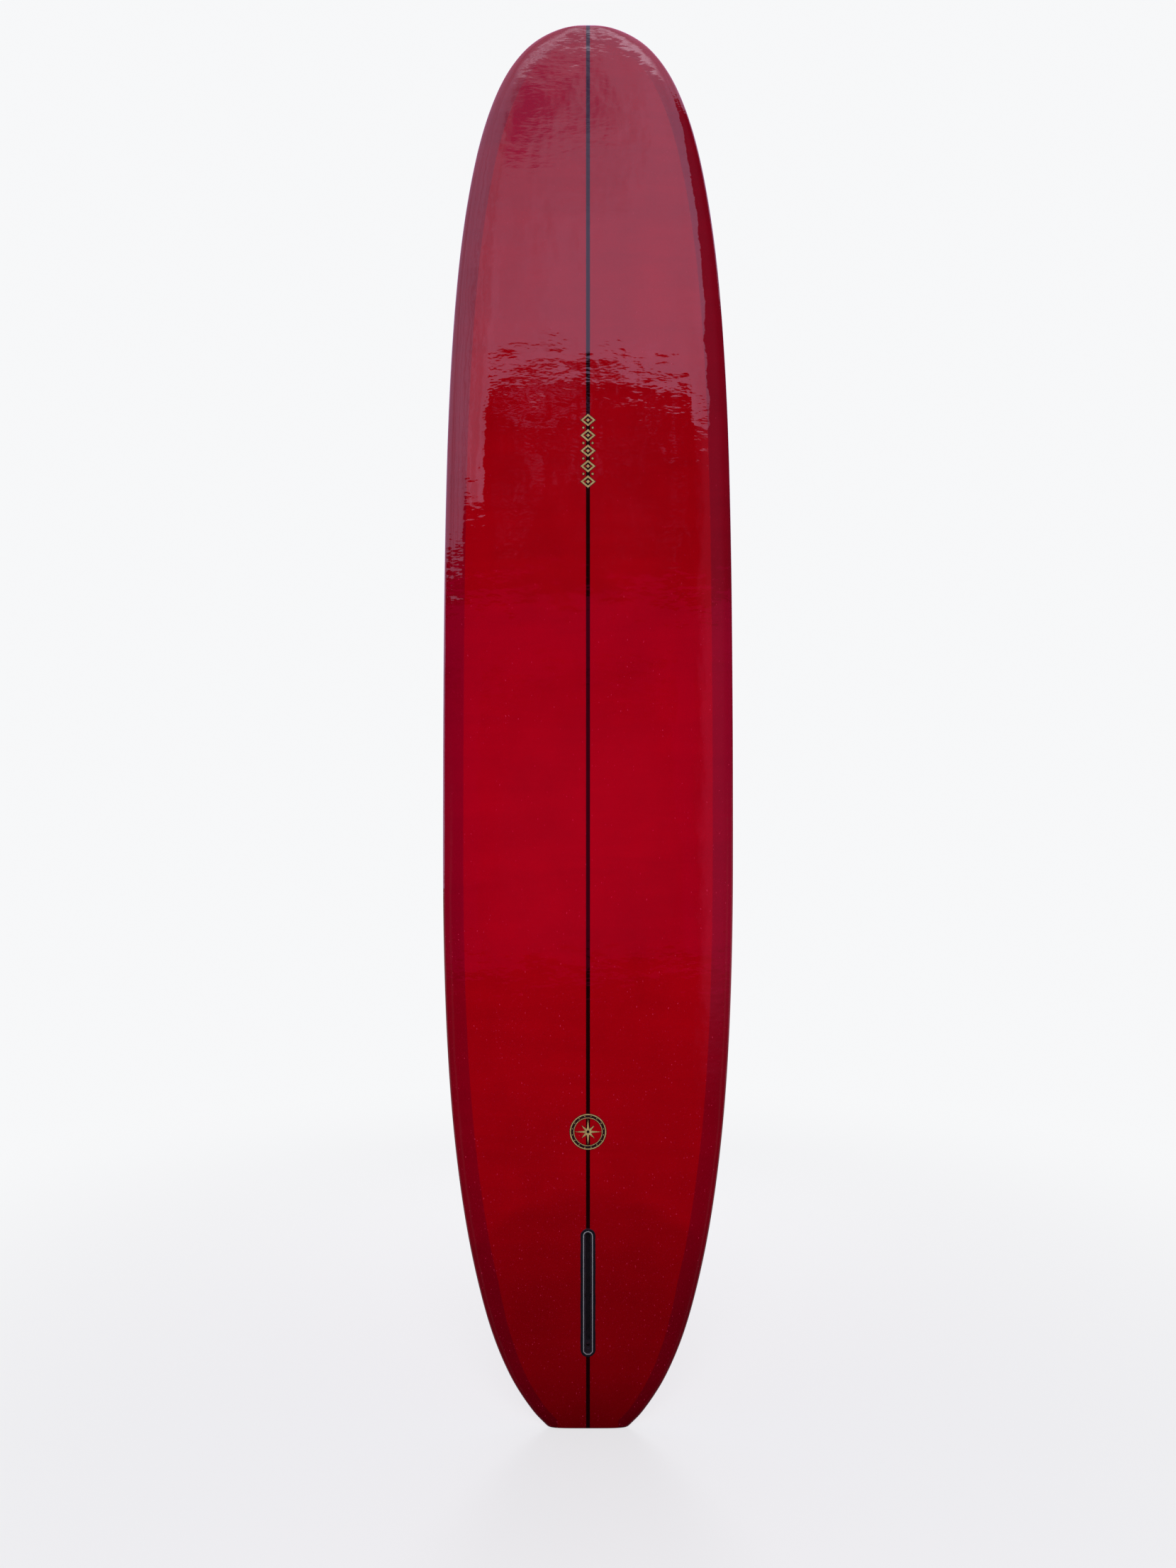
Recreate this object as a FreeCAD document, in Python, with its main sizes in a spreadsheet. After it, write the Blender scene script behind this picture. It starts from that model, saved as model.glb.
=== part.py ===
# Longboard surfboard, square tail, single centre fin box, leash hole through the tail.
# Millimetres. Z runs along the board from the tail end (0) to the nose tip.
# X is the width. Y is the thickness: the bottom face looks to -Y, the deck to +Y.
# The origin is the centre of the flat tail end.
import FreeCAD, Part
import Sketcher
import math
import os

V = FreeCAD.Vector
doc = FreeCAD.newDocument("longboard")

# ---------------------------------------------------------------- driving sizes
dims = doc.addObject("Spreadsheet::Sheet", "dims")
SIZES = [
    ("board_length", 3048.0), ("board_width", 612.8), ("board_thickness", 79.0),
    ("nose_rocker", 112.0), ("tail_rocker", 87.0), ("rocker_station", 1450.0),
    ("nose_rocker_power", 2.6), ("tail_rocker_power", 2.5),
    ("rail_apex_share", 0.43), ("bottom_fullness", 4.5), ("deck_fullness", 2.6),
    ("nose_edge_radius", 10.0), ("tail_edge_radius", 5.0), ("nose_flat", 0.6),
    ("tail_face_y", 98.0), ("ply", 0.65), ("print_height", 0.15),
    ("stringer_width", 8.0),
    ("bottom_lap", 46.0), ("deck_lap", 48.0), ("deck_tail_lap", 23.0),
    ("box_centre", 309.0), ("box_length", 276.0), ("box_width", 21.0), ("box_depth", 27.0),
    ("box_stock", 2.0), ("box_chamfer", 6.15), ("box_rim", 3.0),
    ("slot_width", 8.4), ("slot_depth", 24.0), ("slot_low", -109.0), ("slot_high", 133.5),
    ("track_width", 14.5), ("track_top", 7.0), ("track_tall", 4.0), ("track_low", -100.0), ("track_long", 226.0),
    ("notch_centre", -6.0), ("notch_long", 11.0),
    ("leash_pocket_low", -125.0), ("leash_pocket_depth", 4.6),
    ("boss_centre", -130.6), ("boss_outer", 4.2), ("boss_inner", 3.1), ("boss_depth", 2.6),
    ("bead_width", 30.5), ("bead_length", 286.0), ("bead_depth", 3.2),
    ("sleeve_gap", 1.2),
    ("leash_station", 193.5), ("leash_bore", 2.85), ("leash_tube_outer", 3.5),
    ("leash_mouth", 5.85), ("leash_mouth_deep", 3.8), ("leash_lip", 0.9), ("leash_bead_outer", 6.55), ("leash_bead_deep", 2.4),
    ("mark_bottom_station", 2089.0), ("mark_deck_station", 2058.0), ("mark_long", 163.0), ("mark_wide", 31.0),
    ("emblem_station", 661.0), ("emblem_radius", 38.0),
]
for i, (alias, value) in enumerate(SIZES):
    row = i + 1
    dims.set("A%d" % row, alias)
    dims.set("B%d" % row, repr(value))
    dims.setAlias("B%d" % row, alias)

# Offsets of the planform: distance from the nose tip and half width there, for a
# half width of 307.3 at the widest point. They are scaled to board_width.
PLAN = [
    (8, 53.6), (18, 80.0), (38, 113.6), (68, 144.9), (108, 173.0), (168, 201.5),
    (248, 227.5), (348, 249.5), (448, 265.2), (548, 276.7), (648, 285.0), (848, 295.9),
    (1048, 301.6), (1248, 304.7), (1448, 306.3), (1598, 307.0), (1748, 307.3), (1898, 307.0),
    (2048, 304.6), (2148, 301.5), (2248, 296.7), (2348, 289.9), (2448, 280.4), (2548, 267.9),
    (2648, 251.6), (2748, 230.3), (2848, 202.1), (2898, 183.1), (2948, 159.6), (2998, 128.6),
    (3023, 109.5), (3038, 95.1), (3048, 85.3),
]
# Foil: distance from the tail end and thickness on the stringer, for 79 at the thickest point.
FOIL = [
    (0, 22.0), (50, 28.5), (100, 34.0), (200, 42.5), (300, 49.5), (500, 60.0), (800, 70.5),
    (1200, 77.5), (1500, 79.0), (1800, 78.0), (2200, 72.0), (2500, 62.0), (2700, 51.0),
    (2850, 39.0), (2950, 28.0), (3000, 21.0), (3048, 14.0),
]
offsets = doc.addObject("Spreadsheet::Sheet", "offsets")
for i, (d, w) in enumerate(PLAN):
    row = i + 1
    offsets.set("A%d" % row, str(float(d)))
    offsets.setAlias("A%d" % row, "plan_from_nose_%d" % i)
    offsets.set("B%d" % row, str(float(w)))
    offsets.setAlias("B%d" % row, "plan_half_width_%d" % i)
for i, (d, w) in enumerate(FOIL):
    row = i + 1
    offsets.set("D%d" % row, str(float(d)))
    offsets.setAlias("D%d" % row, "foil_from_tail_%d" % i)
    offsets.set("E%d" % row, str(float(w)))
    offsets.setAlias("E%d" % row, "foil_thickness_%d" % i)
doc.recompute()


def size(alias):
    return float(dims.get(alias))


def natural_spline(xs, ys):
    """Natural cubic through the points."""
    n = len(xs)
    gap = [xs[i + 1] - xs[i] for i in range(n - 1)]
    a, b, c, r = [0.0] * n, [1.0] * n, [0.0] * n, [0.0] * n
    for i in range(1, n - 1):
        a[i], b[i], c[i] = gap[i - 1], 2 * (gap[i - 1] + gap[i]), gap[i]
        r[i] = 6 * ((ys[i + 1] - ys[i]) / gap[i] - (ys[i] - ys[i - 1]) / gap[i - 1])
    for i in range(1, n):
        q = a[i] / b[i - 1]
        b[i] -= q * c[i - 1]
        r[i] -= q * r[i - 1]
    curve = [0.0] * n
    curve[-1] = r[-1] / b[-1]
    for i in range(n - 2, -1, -1):
        curve[i] = (r[i] - c[i] * curve[i + 1]) / b[i]

    def value(x):
        i = 0
        while i < n - 2 and x > xs[i + 1]:
            i += 1
        t, u, g = x - xs[i], xs[i + 1] - x, gap[i]
        return (
            (curve[i] * u ** 3 + curve[i + 1] * t ** 3) / (6 * g)
            + (ys[i] / g - curve[i] * g / 6) * u
            + (ys[i + 1] / g - curve[i + 1] * g / 6) * t
        )

    return value


L = size("board_length")
plan_d = [float(offsets.get("plan_from_nose_%d" % i)) for i in range(len(PLAN))]
plan_w = [float(offsets.get("plan_half_width_%d" % i)) for i in range(len(PLAN))]
foil_d = [float(offsets.get("foil_from_tail_%d" % i)) for i in range(len(FOIL))]
foil_t = [float(offsets.get("foil_thickness_%d" % i)) for i in range(len(FOIL))]
# Near a round nose the half width grows with the square root of the distance, so its
# square over the distance is the smooth quantity.
plan_curve = natural_spline([0.0] + plan_d, [357.0] + [w * w / d for d, w in zip(plan_d, plan_w)])
foil_curve = natural_spline(foil_d, foil_t)


def half_width(station):
    d = max(L - station, 0.0)
    return math.sqrt(max(plan_curve(d) * d, 0.0)) * size("board_width") / (2 * max(plan_w))


def bottom_rocker(station):
    m = size("rocker_station")
    if station > m:
        return size("nose_rocker") * ((station - m) / (L - m)) ** size("nose_rocker_power")
    return size("tail_rocker") * ((m - station) / m) ** size("tail_rocker_power")


def thickness(station):
    return foil_curve(min(max(station, 0.0), L)) * size("board_thickness") / max(foil_t)


def section_size(station, inset):
    """Half width, bottom and deck heights on the stringer, of the hull inset by a skin."""
    at = (station - inset) * L / (L - 2 * inset)
    w, t, d = half_width(at), thickness(at), L - at
    nose_r, tail_r = size("nose_edge_radius"), size("tail_edge_radius")
    nose = 1.0 if d >= nose_r else math.sqrt(max(0.0, 1 - (1 - d / nose_r) ** 2))
    k = tail_r - math.sqrt(max(0.0, tail_r ** 2 - (tail_r - at) ** 2)) if at < tail_r else 0.0
    low = bottom_rocker(station) + t * (1 - nose) / 2 + 0.8 * k + inset
    high = bottom_rocker(station) + t - t * (1 - nose) / 2 - 0.8 * k - inset
    y0 = size("tail_face_y")
    return w - k - inset, low - y0, high - y0


SHARES = [0, 0.14, 0.28, 0.42, 0.55, 0.66, 0.75, 0.825, 0.88, 0.925, 0.957, 0.98, 0.994, 1.0]


def section_points(station, inset):
    w, low, high = section_size(station, inset)
    apex = low + (high - low) * size("rail_apex_share")
    up = [(w * f, apex + (high - apex) * math.sqrt(max(0.0, 1 - f ** size("deck_fullness")))) for f in SHARES]
    dn = [(w * f, apex - (apex - low) * math.sqrt(max(0.0, 1 - f ** size("bottom_fullness")))) for f in SHARES]
    deck = [V(-x, y, station) for x, y in reversed(up)] + [V(x, y, station) for x, y in up[1:]]
    bottom = [V(x, y, station) for x, y in reversed(dn)] + [V(-x, y, station) for x, y in dn[1:]]
    return deck, bottom


def spread(points):
    u = [0.0]
    for p, q in zip(points, points[1:]):
        u.append(u[-1] + math.sqrt((q - p).Length))
    return [x / u[-1] for x in u]


mid_deck, mid_bottom = section_points(1500.0, 0.0)
DECK_SPREAD, BOTTOM_SPREAD = spread(mid_deck), spread(mid_bottom)
STATIONS = [
    0, 0.6, 1.6, 3, 5, 12, 25, 50, 80, 120, 170, 230, 300, 400, 520, 660, 820, 1000, 1200, 1400, 1600, 1800,
    2000, 2200, 2350, 2500, 2620, 2720, 2800, 2860, 2905, 2940, 2965, 2985, 3000, 3012, 3022, 3030, 3036,
    3040, 3043, 3045.4, 3046.8,
]


def hull(inset):
    """Closed board shape, inset from the outer skin: one deck face and one bottom face."""
    wires = []
    for s in STATIONS + [L - size("nose_flat")]:
        station = inset + s * (L - 2 * inset) / L
        deck, bottom = section_points(station, inset)
        top, under = Part.BSplineCurve(), Part.BSplineCurve()
        top.interpolate(Points=deck, Parameters=DECK_SPREAD)
        under.interpolate(Points=bottom, Parameters=BOTTOM_SPREAD)
        wires.append(Part.Wire([top.toShape(), under.toShape()]))
    return Part.makeLoft(wires, True, False)


def feature(name, shape):
    o = doc.addObject("Part::Feature", name)
    o.Shape = shape
    return o


def boolean(kind, name, base, tool):
    o = doc.addObject("Part::" + kind, name)
    o.Base = base
    o.Tool = tool
    return o


def fuse(name, shapes):
    o = doc.addObject("Part::MultiFuse", name)
    o.Shapes = shapes
    return o


ply = size("ply")
hull_outer = feature("hull_outer", hull(0.0))
hull_mid = feature("hull_mid", hull(ply))
hull_core = feature("hull_core", hull(2 * ply))
hull_print = feature("hull_print", hull(-size("print_height")))

# ---------------------------------------------------------------- planform of the lap lines
def outline(inset_at, low, high, close_tail):
    """Face in the XZ plane, inset from the outline by inset_at(station)."""
    stations = [low + (high - low) * (1 - math.cos(math.pi * i / 60)) / 2 for i in range(61)]
    right = []
    for s in stations:
        e = 0.5
        a, b = max(s - e, 0.0), min(s + e, L - 0.01)
        slope = (half_width(b) - half_width(a)) / (b - a)
        n = math.sqrt(1 + slope * slope)
        k = inset_at(s)
        right.append(V(half_width(s) - k / n, 0, s + k * slope / n))
    tip = V(0, 0, L - inset_at(L))
    right = [p for p in right if p.z < tip.z - 1.0 and p.x > 4.0] + [tip]
    keep = [right[0]]
    for p in right[1:]:
        if p.z > keep[-1].z + 0.5:
            keep.append(p)
    keep[-1] = tip
    left = [V(-p.x, 0, p.z) for p in reversed(keep[:-1])]
    curve = Part.BSplineCurve()
    curve.interpolate(Points=keep + left)
    a, b = keep[0], left[-1]
    if close_tail is None:
        bottom_z = -30.0
    else:
        bottom_z = close_tail
    c, d = V(b.x, 0, bottom_z), V(a.x, 0, bottom_z)
    wire = Part.Wire([curve.toShape(), Part.makeLine(b, c), Part.makeLine(c, d), Part.makeLine(d, a)])
    return Part.Face(wire)


def bottom_lap_at(s):
    return size("bottom_lap") * min(1.0, 0.62 + 0.38 * s / 320.0)


def deck_lap_at(s):
    return size("deck_lap") * min(1.0, 0.45 + 0.55 * s / 320.0)


# Everything on the deck side of mid thickness, and everything on the bottom side.
mid_points = []
for i in range(25):
    s = -40.0 + (L + 80.0) * i / 24.0
    c = min(max(s, 0.0), L)
    w, low, high = section_size(min(max(c, 0.0), L - 12.0), 0.0)
    mid_points.append(V(-400, low + (high - low) * 0.5, s))
mid_curve = Part.BSplineCurve()
mid_curve.interpolate(Points=mid_points)
p0, p1 = mid_points[0], mid_points[-1]


def side_block(y):
    w = Part.Wire([
        mid_curve.toShape(), Part.makeLine(p1, V(-400, y, p1.z)),
        Part.makeLine(V(-400, y, p1.z), V(-400, y, p0.z)), Part.makeLine(V(-400, y, p0.z), p0),
    ])
    return Part.Face(w).extrude(V(800, 0, 0))


lap_bottom_plan = feature("lap_bottom_plan", outline(bottom_lap_at, 0.0, L, None).extrude(V(0, 400, 0)))
lap_bottom_plan.Placement = FreeCAD.Placement(V(0, -200, 0), FreeCAD.Rotation())
lap_deck_plan = feature("lap_deck_plan", outline(deck_lap_at, size("deck_tail_lap"), L, size("deck_tail_lap")).extrude(V(0, 400, 0)))
lap_deck_plan.Placement = FreeCAD.Placement(V(0, -200, 0), FreeCAD.Rotation())
deck_side = feature("deck_side", side_block(220))
bottom_side = feature("bottom_side", side_block(-220))
bottom_field = boolean("Common", "bottom_field", lap_bottom_plan, bottom_side)
deck_field = boolean("Common", "deck_field", lap_deck_plan, deck_side)

# ---------------------------------------------------------------- frame of the fin box
centre = size("box_centre")
slope = (bottom_rocker(centre + 1) - bottom_rocker(centre - 1)) / 2
angle = math.degrees(math.atan(-slope))
BOX_PLACE = FreeCAD.Placement(
    V(0, bottom_rocker(centre) - size("tail_face_y"), centre), FreeCAD.Rotation(V(1, 0, 0), angle)
)


def plane(body, role):
    for f in body.Origin.OriginFeatures:
        if f.Role == role:
            return f
    raise RuntimeError(role)


def sketch_on(body, name, role, offset):
    sk = body.newObject("Sketcher::SketchObject", name)
    sk.AttachmentSupport = (plane(body, role), [""])
    sk.MapMode = "FlatFace"
    sk.AttachmentOffset = FreeCAD.Placement(V(0, 0, offset), FreeCAD.Rotation())
    return sk


C = Sketcher.Constraint


def box_end_outline(sk, half, low, high, chamfer):
    """Round at the nose end, half of an octagon at the tail end."""
    z = V(0, 0, 1)
    pts = [V(-half, high - half, 0), V(-half, low + chamfer, 0), V(-half + chamfer, low, 0), V(half - chamfer, low, 0), V(half, low + chamfer, 0), V(half, high - half, 0)]
    for a, b in zip(pts, pts[1:]):
        sk.addGeometry(Part.LineSegment(a, b), False)
    sk.addGeometry(Part.ArcOfCircle(Part.Circle(V(0, high - half, 0), z, half), 0, math.pi), False)
    for i in range(4):
        sk.addConstraint(C("Coincident", i, 2, i + 1, 1))
    sk.addConstraint(C("Tangent", 4, 2, 5, 1))
    sk.addConstraint(C("Tangent", 5, 2, 0, 1))
    sk.addConstraint(C("PointOnObject", 5, 3, -2))
    sk.addConstraint(C("Symmetric", 2, 1, 2, 2, -2))
    return pts


def rectangle(sk, x0, x1, y0, y1):
    pts = [V(x0, y0, 0), V(x1, y0, 0), V(x1, y1, 0), V(x0, y1, 0)]
    for i in range(4):
        sk.addGeometry(Part.LineSegment(pts[i], pts[(i + 1) % 4]), False)
    for i in range(4):
        sk.addConstraint(C("Coincident", i, 2, (i + 1) % 4, 1))
    sk.addConstraint(C("Horizontal", 0))
    sk.addConstraint(C("Horizontal", 2))
    sk.addConstraint(C("Vertical", 1))
    sk.addConstraint(C("Vertical", 3))


def named(sk, constraint, name, expression):
    i = sk.addConstraint(constraint)
    sk.renameConstraint(i, name)
    sk.setExpression("Constraints." + name, expression)


def pad(body, name, sk, length, reverse):
    f = body.newObject("PartDesign::Pad", name)
    f.Profile = sk
    f.setExpression("Length", length)
    f.Reversed = reverse
    return f


def pocket(body, name, sk, length, reverse):
    f = body.newObject("PartDesign::Pocket", name)
    f.Profile = sk
    f.setExpression("Length", length)
    f.Reversed = reverse
    return f


half_box = size("box_width") / 2
half_len = size("box_length") / 2

# Fin box stock: a moulded channel, a little tall so that it is trimmed flush with the bottom.
stock = doc.addObject("PartDesign::Body", "fin_box_stock")
sk = sketch_on(stock, "box_outline", "XZ_Plane", size("box_stock"))
pts = box_end_outline(sk, half_box, -half_len, half_len, size("box_chamfer"))
named(sk, C("Radius", 5, half_box), "half_box_width", "dims.box_width / 2")
named(sk, C("DistanceY", -1, 1, 5, 3, half_len - half_box), "nose_centre", "dims.box_length / 2 - dims.box_width / 2")
named(sk, C("DistanceY", 2, 2, -1, 1, half_len), "tail_end", "dims.box_length / 2")
named(sk, C("DistanceX", 2, 1, 2, 2, 2 * (half_box - size("box_chamfer"))), "tail_flat", "dims.box_width - 2 * dims.box_chamfer")
named(sk, C("DistanceY", 3, 1, 3, 2, size("box_chamfer")), "chamfer_rise", "dims.box_chamfer")
named(sk, C("DistanceY", 1, 2, 1, 1, size("box_chamfer")), "chamfer_rise_left", "dims.box_chamfer")
pad(stock, "box_pad", sk, "dims.box_depth + dims.box_stock", True)
doc.recompute()
full = stock.Shape.Volume


def slot_outline(body, name, offset, r, lo, hi, r_e, lo_e, hi_e):
    sk = sketch_on(body, name, "XZ_Plane", offset)
    z = V(0, 0, 1)
    sk.addGeometry(Part.ArcOfCircle(Part.Circle(V(0, hi - r, 0), z, r), 0, math.pi), False)
    sk.addGeometry(Part.ArcOfCircle(Part.Circle(V(0, lo + r, 0), z, r), math.pi, 2 * math.pi), False)
    sk.addGeometry(Part.LineSegment(V(-r, hi - r, 0), V(-r, lo + r, 0)), False)
    sk.addGeometry(Part.LineSegment(V(r, lo + r, 0), V(r, hi - r, 0)), False)
    sk.addConstraint(C("Tangent", 0, 2, 2, 1))
    sk.addConstraint(C("Tangent", 2, 2, 1, 1))
    sk.addConstraint(C("Tangent", 1, 2, 3, 1))
    sk.addConstraint(C("Tangent", 3, 2, 0, 1))
    sk.addConstraint(C("PointOnObject", 0, 3, -2))
    sk.addConstraint(C("PointOnObject", 1, 3, -2))
    sk.addConstraint(C("Equal", 0, 1))
    named(sk, C("Radius", 0, r), "end_radius", r_e)
    named(sk, C("DistanceY", 1, 3, 0, 3, hi - lo - 2 * r), "centres_apart", "(%s) - (%s) - 2 * (%s)" % (hi_e, lo_e, r_e))
    if hi - r > 0:
        named(sk, C("DistanceY", -1, 1, 0, 3, hi - r), "high_centre", "(%s) - (%s)" % (hi_e, r_e))
    else:
        named(sk, C("DistanceY", 0, 3, -1, 1, r - hi), "high_centre", "(%s) - (%s)" % (r_e, hi_e))
    return sk


sk = slot_outline(stock, "slot_outline", size("box_stock"), size("slot_width") / 2, size("slot_low"), size("slot_high"), "dims.slot_width / 2", "dims.slot_low", "dims.slot_high")
pocket(stock, "slot_pocket", sk, "dims.slot_depth + dims.box_stock", False)
sk = slot_outline(stock, "leash_pocket_outline", size("box_stock"), size("slot_width") / 2, size("leash_pocket_low"), -100.0, "dims.slot_width / 2", "dims.leash_pocket_low", "-100")
pocket(stock, "leash_pocket", sk, "dims.leash_pocket_depth + dims.box_stock", False)
# The fin tab's cross pin runs in a track let into both walls of the slot.
sk = sketch_on(stock, "track_outline", "XY_Plane", size("track_low"))
tw, tt, ta = size("track_width"), size("track_top"), size("track_tall")
rectangle(sk, -tw / 2, tw / 2, tt, tt + ta)
named(sk, C("DistanceX", 0, 1, 0, 2, tw), "track_width", "dims.track_width")
named(sk, C("DistanceX", 0, 1, -1, 1, tw / 2), "track_half", "dims.track_width / 2")
named(sk, C("DistanceY", 1, 1, 1, 2, ta), "track_tall", "dims.track_tall")
named(sk, C("DistanceY", -1, 1, 0, 1, tt), "track_top", "dims.track_top")
pocket(stock, "track_pocket", sk, "dims.track_long", True)
# Drop-in notches at mid length let the cross pin down into the track.
sk = sketch_on(stock, "notch_outline", "XZ_Plane", size("box_stock"))
nc, nl = size("notch_centre"), size("notch_long")
rectangle(sk, -tw / 2, tw / 2, nc - nl / 2, nc + nl / 2)
named(sk, C("DistanceX", 0, 1, 0, 2, tw), "notch_width", "dims.track_width")
named(sk, C("DistanceX", 0, 1, -1, 1, tw / 2), "notch_half", "dims.track_width / 2")
named(sk, C("DistanceY", 1, 1, 1, 2, nl), "notch_long", "dims.notch_long")
named(sk, C("DistanceY", 0, 1, -1, 1, nl / 2 - nc), "notch_low", "dims.notch_long / 2 - dims.notch_centre")
pocket(stock, "notch_pocket", sk, "dims.box_stock + dims.track_top + dims.track_tall", False)
# Ring moulded around the solid tail end's boss.
sk = sketch_on(stock, "boss_ring", "XZ_Plane", size("box_stock"))
bc = size("boss_centre")
for n_, key in enumerate(("boss_outer", "boss_inner")):
    sk.addGeometry(Part.Circle(V(0, bc, 0), V(0, 0, 1), size(key)), False)
    named(sk, C("Radius", n_, size(key)), key, "dims." + key)
    sk.addConstraint(C("PointOnObject", n_, 3, -2))
    named(sk, C("DistanceY", n_, 3, -1, 1, -bc), key + "_centre", "-dims.boss_centre")
pocket(stock, "boss_pocket", sk, "dims.boss_depth + dims.box_stock", False)
doc.recompute()
if not stock.Shape.Volume < full - 58000:
    raise RuntimeError("the fin box pockets cut too little: %.0f of %.0f" % (stock.Shape.Volume, full))
stock.Placement = BOX_PLACE

# Shallow recess of the box's face, inside its rim: everything proud of the ply line there.
rim = size("box_rim")
recess = doc.addObject("PartDesign::Body", "recess_stock")
sk = sketch_on(recess, "recess_outline", "XZ_Plane", 6.0)
hw_, lo_, hi_ = half_box - rim, -half_len + rim, half_len - rim
box_end_outline(sk, hw_, lo_, hi_, size("box_chamfer") - 0.9)
named(sk, C("Radius", 5, hw_), "half_recess", "dims.box_width / 2 - dims.box_rim")
named(sk, C("DistanceY", -1, 1, 5, 3, hi_ - hw_), "nose_centre", "dims.box_length / 2 - dims.box_width / 2")
named(sk, C("DistanceY", 2, 2, -1, 1, -lo_), "tail_end", "dims.box_length / 2 - dims.box_rim")
named(sk, C("DistanceX", 2, 1, 2, 2, 2 * (hw_ - size("box_chamfer") + 0.9)), "tail_flat", "dims.box_width - 2 * dims.box_rim - 2 * dims.box_chamfer + 1.8")
named(sk, C("DistanceY", 3, 1, 3, 2, size("box_chamfer") - 0.9), "chamfer_rise", "dims.box_chamfer - 0.9")
named(sk, C("DistanceY", 1, 2, 1, 1, size("box_chamfer") - 0.9), "chamfer_rise_left", "dims.box_chamfer - 0.9")
pad(recess, "recess_pad", sk, "dims.box_depth", True)
recess.Placement = BOX_PLACE

# Routed pocket in the board: a shallow wide lip for the resin bead and a deep narrow well.
bead_well = doc.addObject("PartDesign::Body", "bead_well")
bw, bl = size("bead_width") / 2, size("bead_length") / 2
sk = slot_outline(bead_well, "bead_outline", 6.0, bw, -bl, bl, "dims.bead_width / 2", "-dims.bead_length / 2", "dims.bead_length / 2")
pad(bead_well, "bead_pad", sk, "dims.bead_depth + 6", True)
bead_well.Placement = BOX_PLACE
deep_well = doc.addObject("PartDesign::Body", "deep_well")
g = size("sleeve_gap")
sk = slot_outline(deep_well, "well_outline", 6.0, half_box + g, -half_len - g, half_len + g, "dims.box_width / 2 + dims.sleeve_gap", "-dims.box_length / 2 - dims.sleeve_gap", "dims.box_length / 2 + dims.sleeve_gap")
pad(deep_well, "well_pad", sk, "dims.box_depth + dims.sleeve_gap + 6", True)
deep_well.Placement = BOX_PLACE
rout = fuse("fin_rout", [bead_well, deep_well])
# The box's outer envelope, without its slot, for the resin bed to close on.
envelope = doc.addObject("PartDesign::Body", "box_envelope")
sk = sketch_on(envelope, "envelope_outline", "XZ_Plane", 8.0)
box_end_outline(sk, half_box, -half_len, half_len, size("box_chamfer"))
named(sk, C("Radius", 5, half_box), "half_box_width", "dims.box_width / 2")
named(sk, C("DistanceY", -1, 1, 5, 3, half_len - half_box), "nose_centre", "dims.box_length / 2 - dims.box_width / 2")
named(sk, C("DistanceY", 2, 2, -1, 1, half_len), "tail_end", "dims.box_length / 2")
named(sk, C("DistanceX", 2, 1, 2, 2, 2 * (half_box - size("box_chamfer"))), "tail_flat", "dims.box_width - 2 * dims.box_chamfer")
named(sk, C("DistanceY", 3, 1, 3, 2, size("box_chamfer")), "chamfer_rise", "dims.box_chamfer")
named(sk, C("DistanceY", 1, 2, 1, 1, size("box_chamfer")), "chamfer_rise_left", "dims.box_chamfer")
pad(envelope, "envelope_pad", sk, "dims.box_depth + 8", True)
envelope.Placement = BOX_PLACE

# ---------------------------------------------------------------- leash tube
station = size("leash_station")
w_, bottom_y, deck_y = section_size(station, 0.0)
box_face_y = bottom_y  # the box is flush with the bottom here
tube_low = box_face_y + size("leash_pocket_depth") - 1.2
tube_high = deck_y - 0.25
tube = doc.addObject("PartDesign::Body", "leash_tube_body")
sk = sketch_on(tube, "tube_profile", "XY_Plane", 0)
bore, outer, mouth = size("leash_bore"), size("leash_tube_outer"), size("leash_mouth")
deep, lip = size("leash_mouth_deep"), size("leash_lip")
tall = tube_high - tube_low
prof = [V(bore, 0, 0), V(outer, 0, 0), V(outer, tall - deep - lip, 0), V(mouth, tall - lip, 0), V(mouth, tall, 0), V(mouth - 0.55, tall, 0), V(bore, tall - deep, 0)]
for i in range(7):
    sk.addGeometry(Part.LineSegment(prof[i], prof[(i + 1) % 7]), False)
for i in range(7):
    sk.addConstraint(C("Coincident", i, 2, (i + 1) % 7, 1))
sk.addConstraint(C("PointOnObject", 0, 1, -1))
sk.addConstraint(C("Horizontal", 0))
sk.addConstraint(C("Vertical", 1))
sk.addConstraint(C("Vertical", 3))
sk.addConstraint(C("Horizontal", 4))
sk.addConstraint(C("Vertical", 6))
named(sk, C("DistanceX", -1, 1, 0, 1, bore), "bore_radius", "dims.leash_bore")
named(sk, C("DistanceX", -1, 1, 0, 2, outer), "outer_radius", "dims.leash_tube_outer")
named(sk, C("DistanceX", -1, 1, 3, 2, mouth), "mouth_radius", "dims.leash_mouth")
named(sk, C("DistanceX", -1, 1, 4, 2, mouth - 0.55), "mouth_inner", "dims.leash_mouth - 0.55")
named(sk, C("DistanceY", 6, 1, 4, 2, deep), "mouth_deep", "dims.leash_mouth_deep")
named(sk, C("DistanceY", 3, 1, 3, 2, lip), "lip_tall", "dims.leash_lip")
named(sk, C("DistanceY", 1, 2, 3, 2, deep + lip), "flare_tall", "dims.leash_mouth_deep + dims.leash_lip")
sk.addConstraint(C("DistanceY", -1, 1, 4, 2, tall))
rev = tube.newObject("PartDesign::Revolution", "tube_turn")
rev.Profile = sk
rev.ReferenceAxis = (sk, ["V_Axis"])
rev.Angle = 360.0
tube.Placement = FreeCAD.Placement(V(0, tube_low, station), FreeCAD.Rotation())

# Drilled way for the tube, and the wider seat of its mouth and resin ring.
def drill(name, radius, low, high):
    c = doc.addObject("Part::Cylinder", name)
    c.setExpression("Radius", radius)
    c.Height = high - low
    c.Placement = FreeCAD.Placement(V(0, low, station), FreeCAD.Rotation(V(1, 0, 0), -90))
    return c


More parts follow.
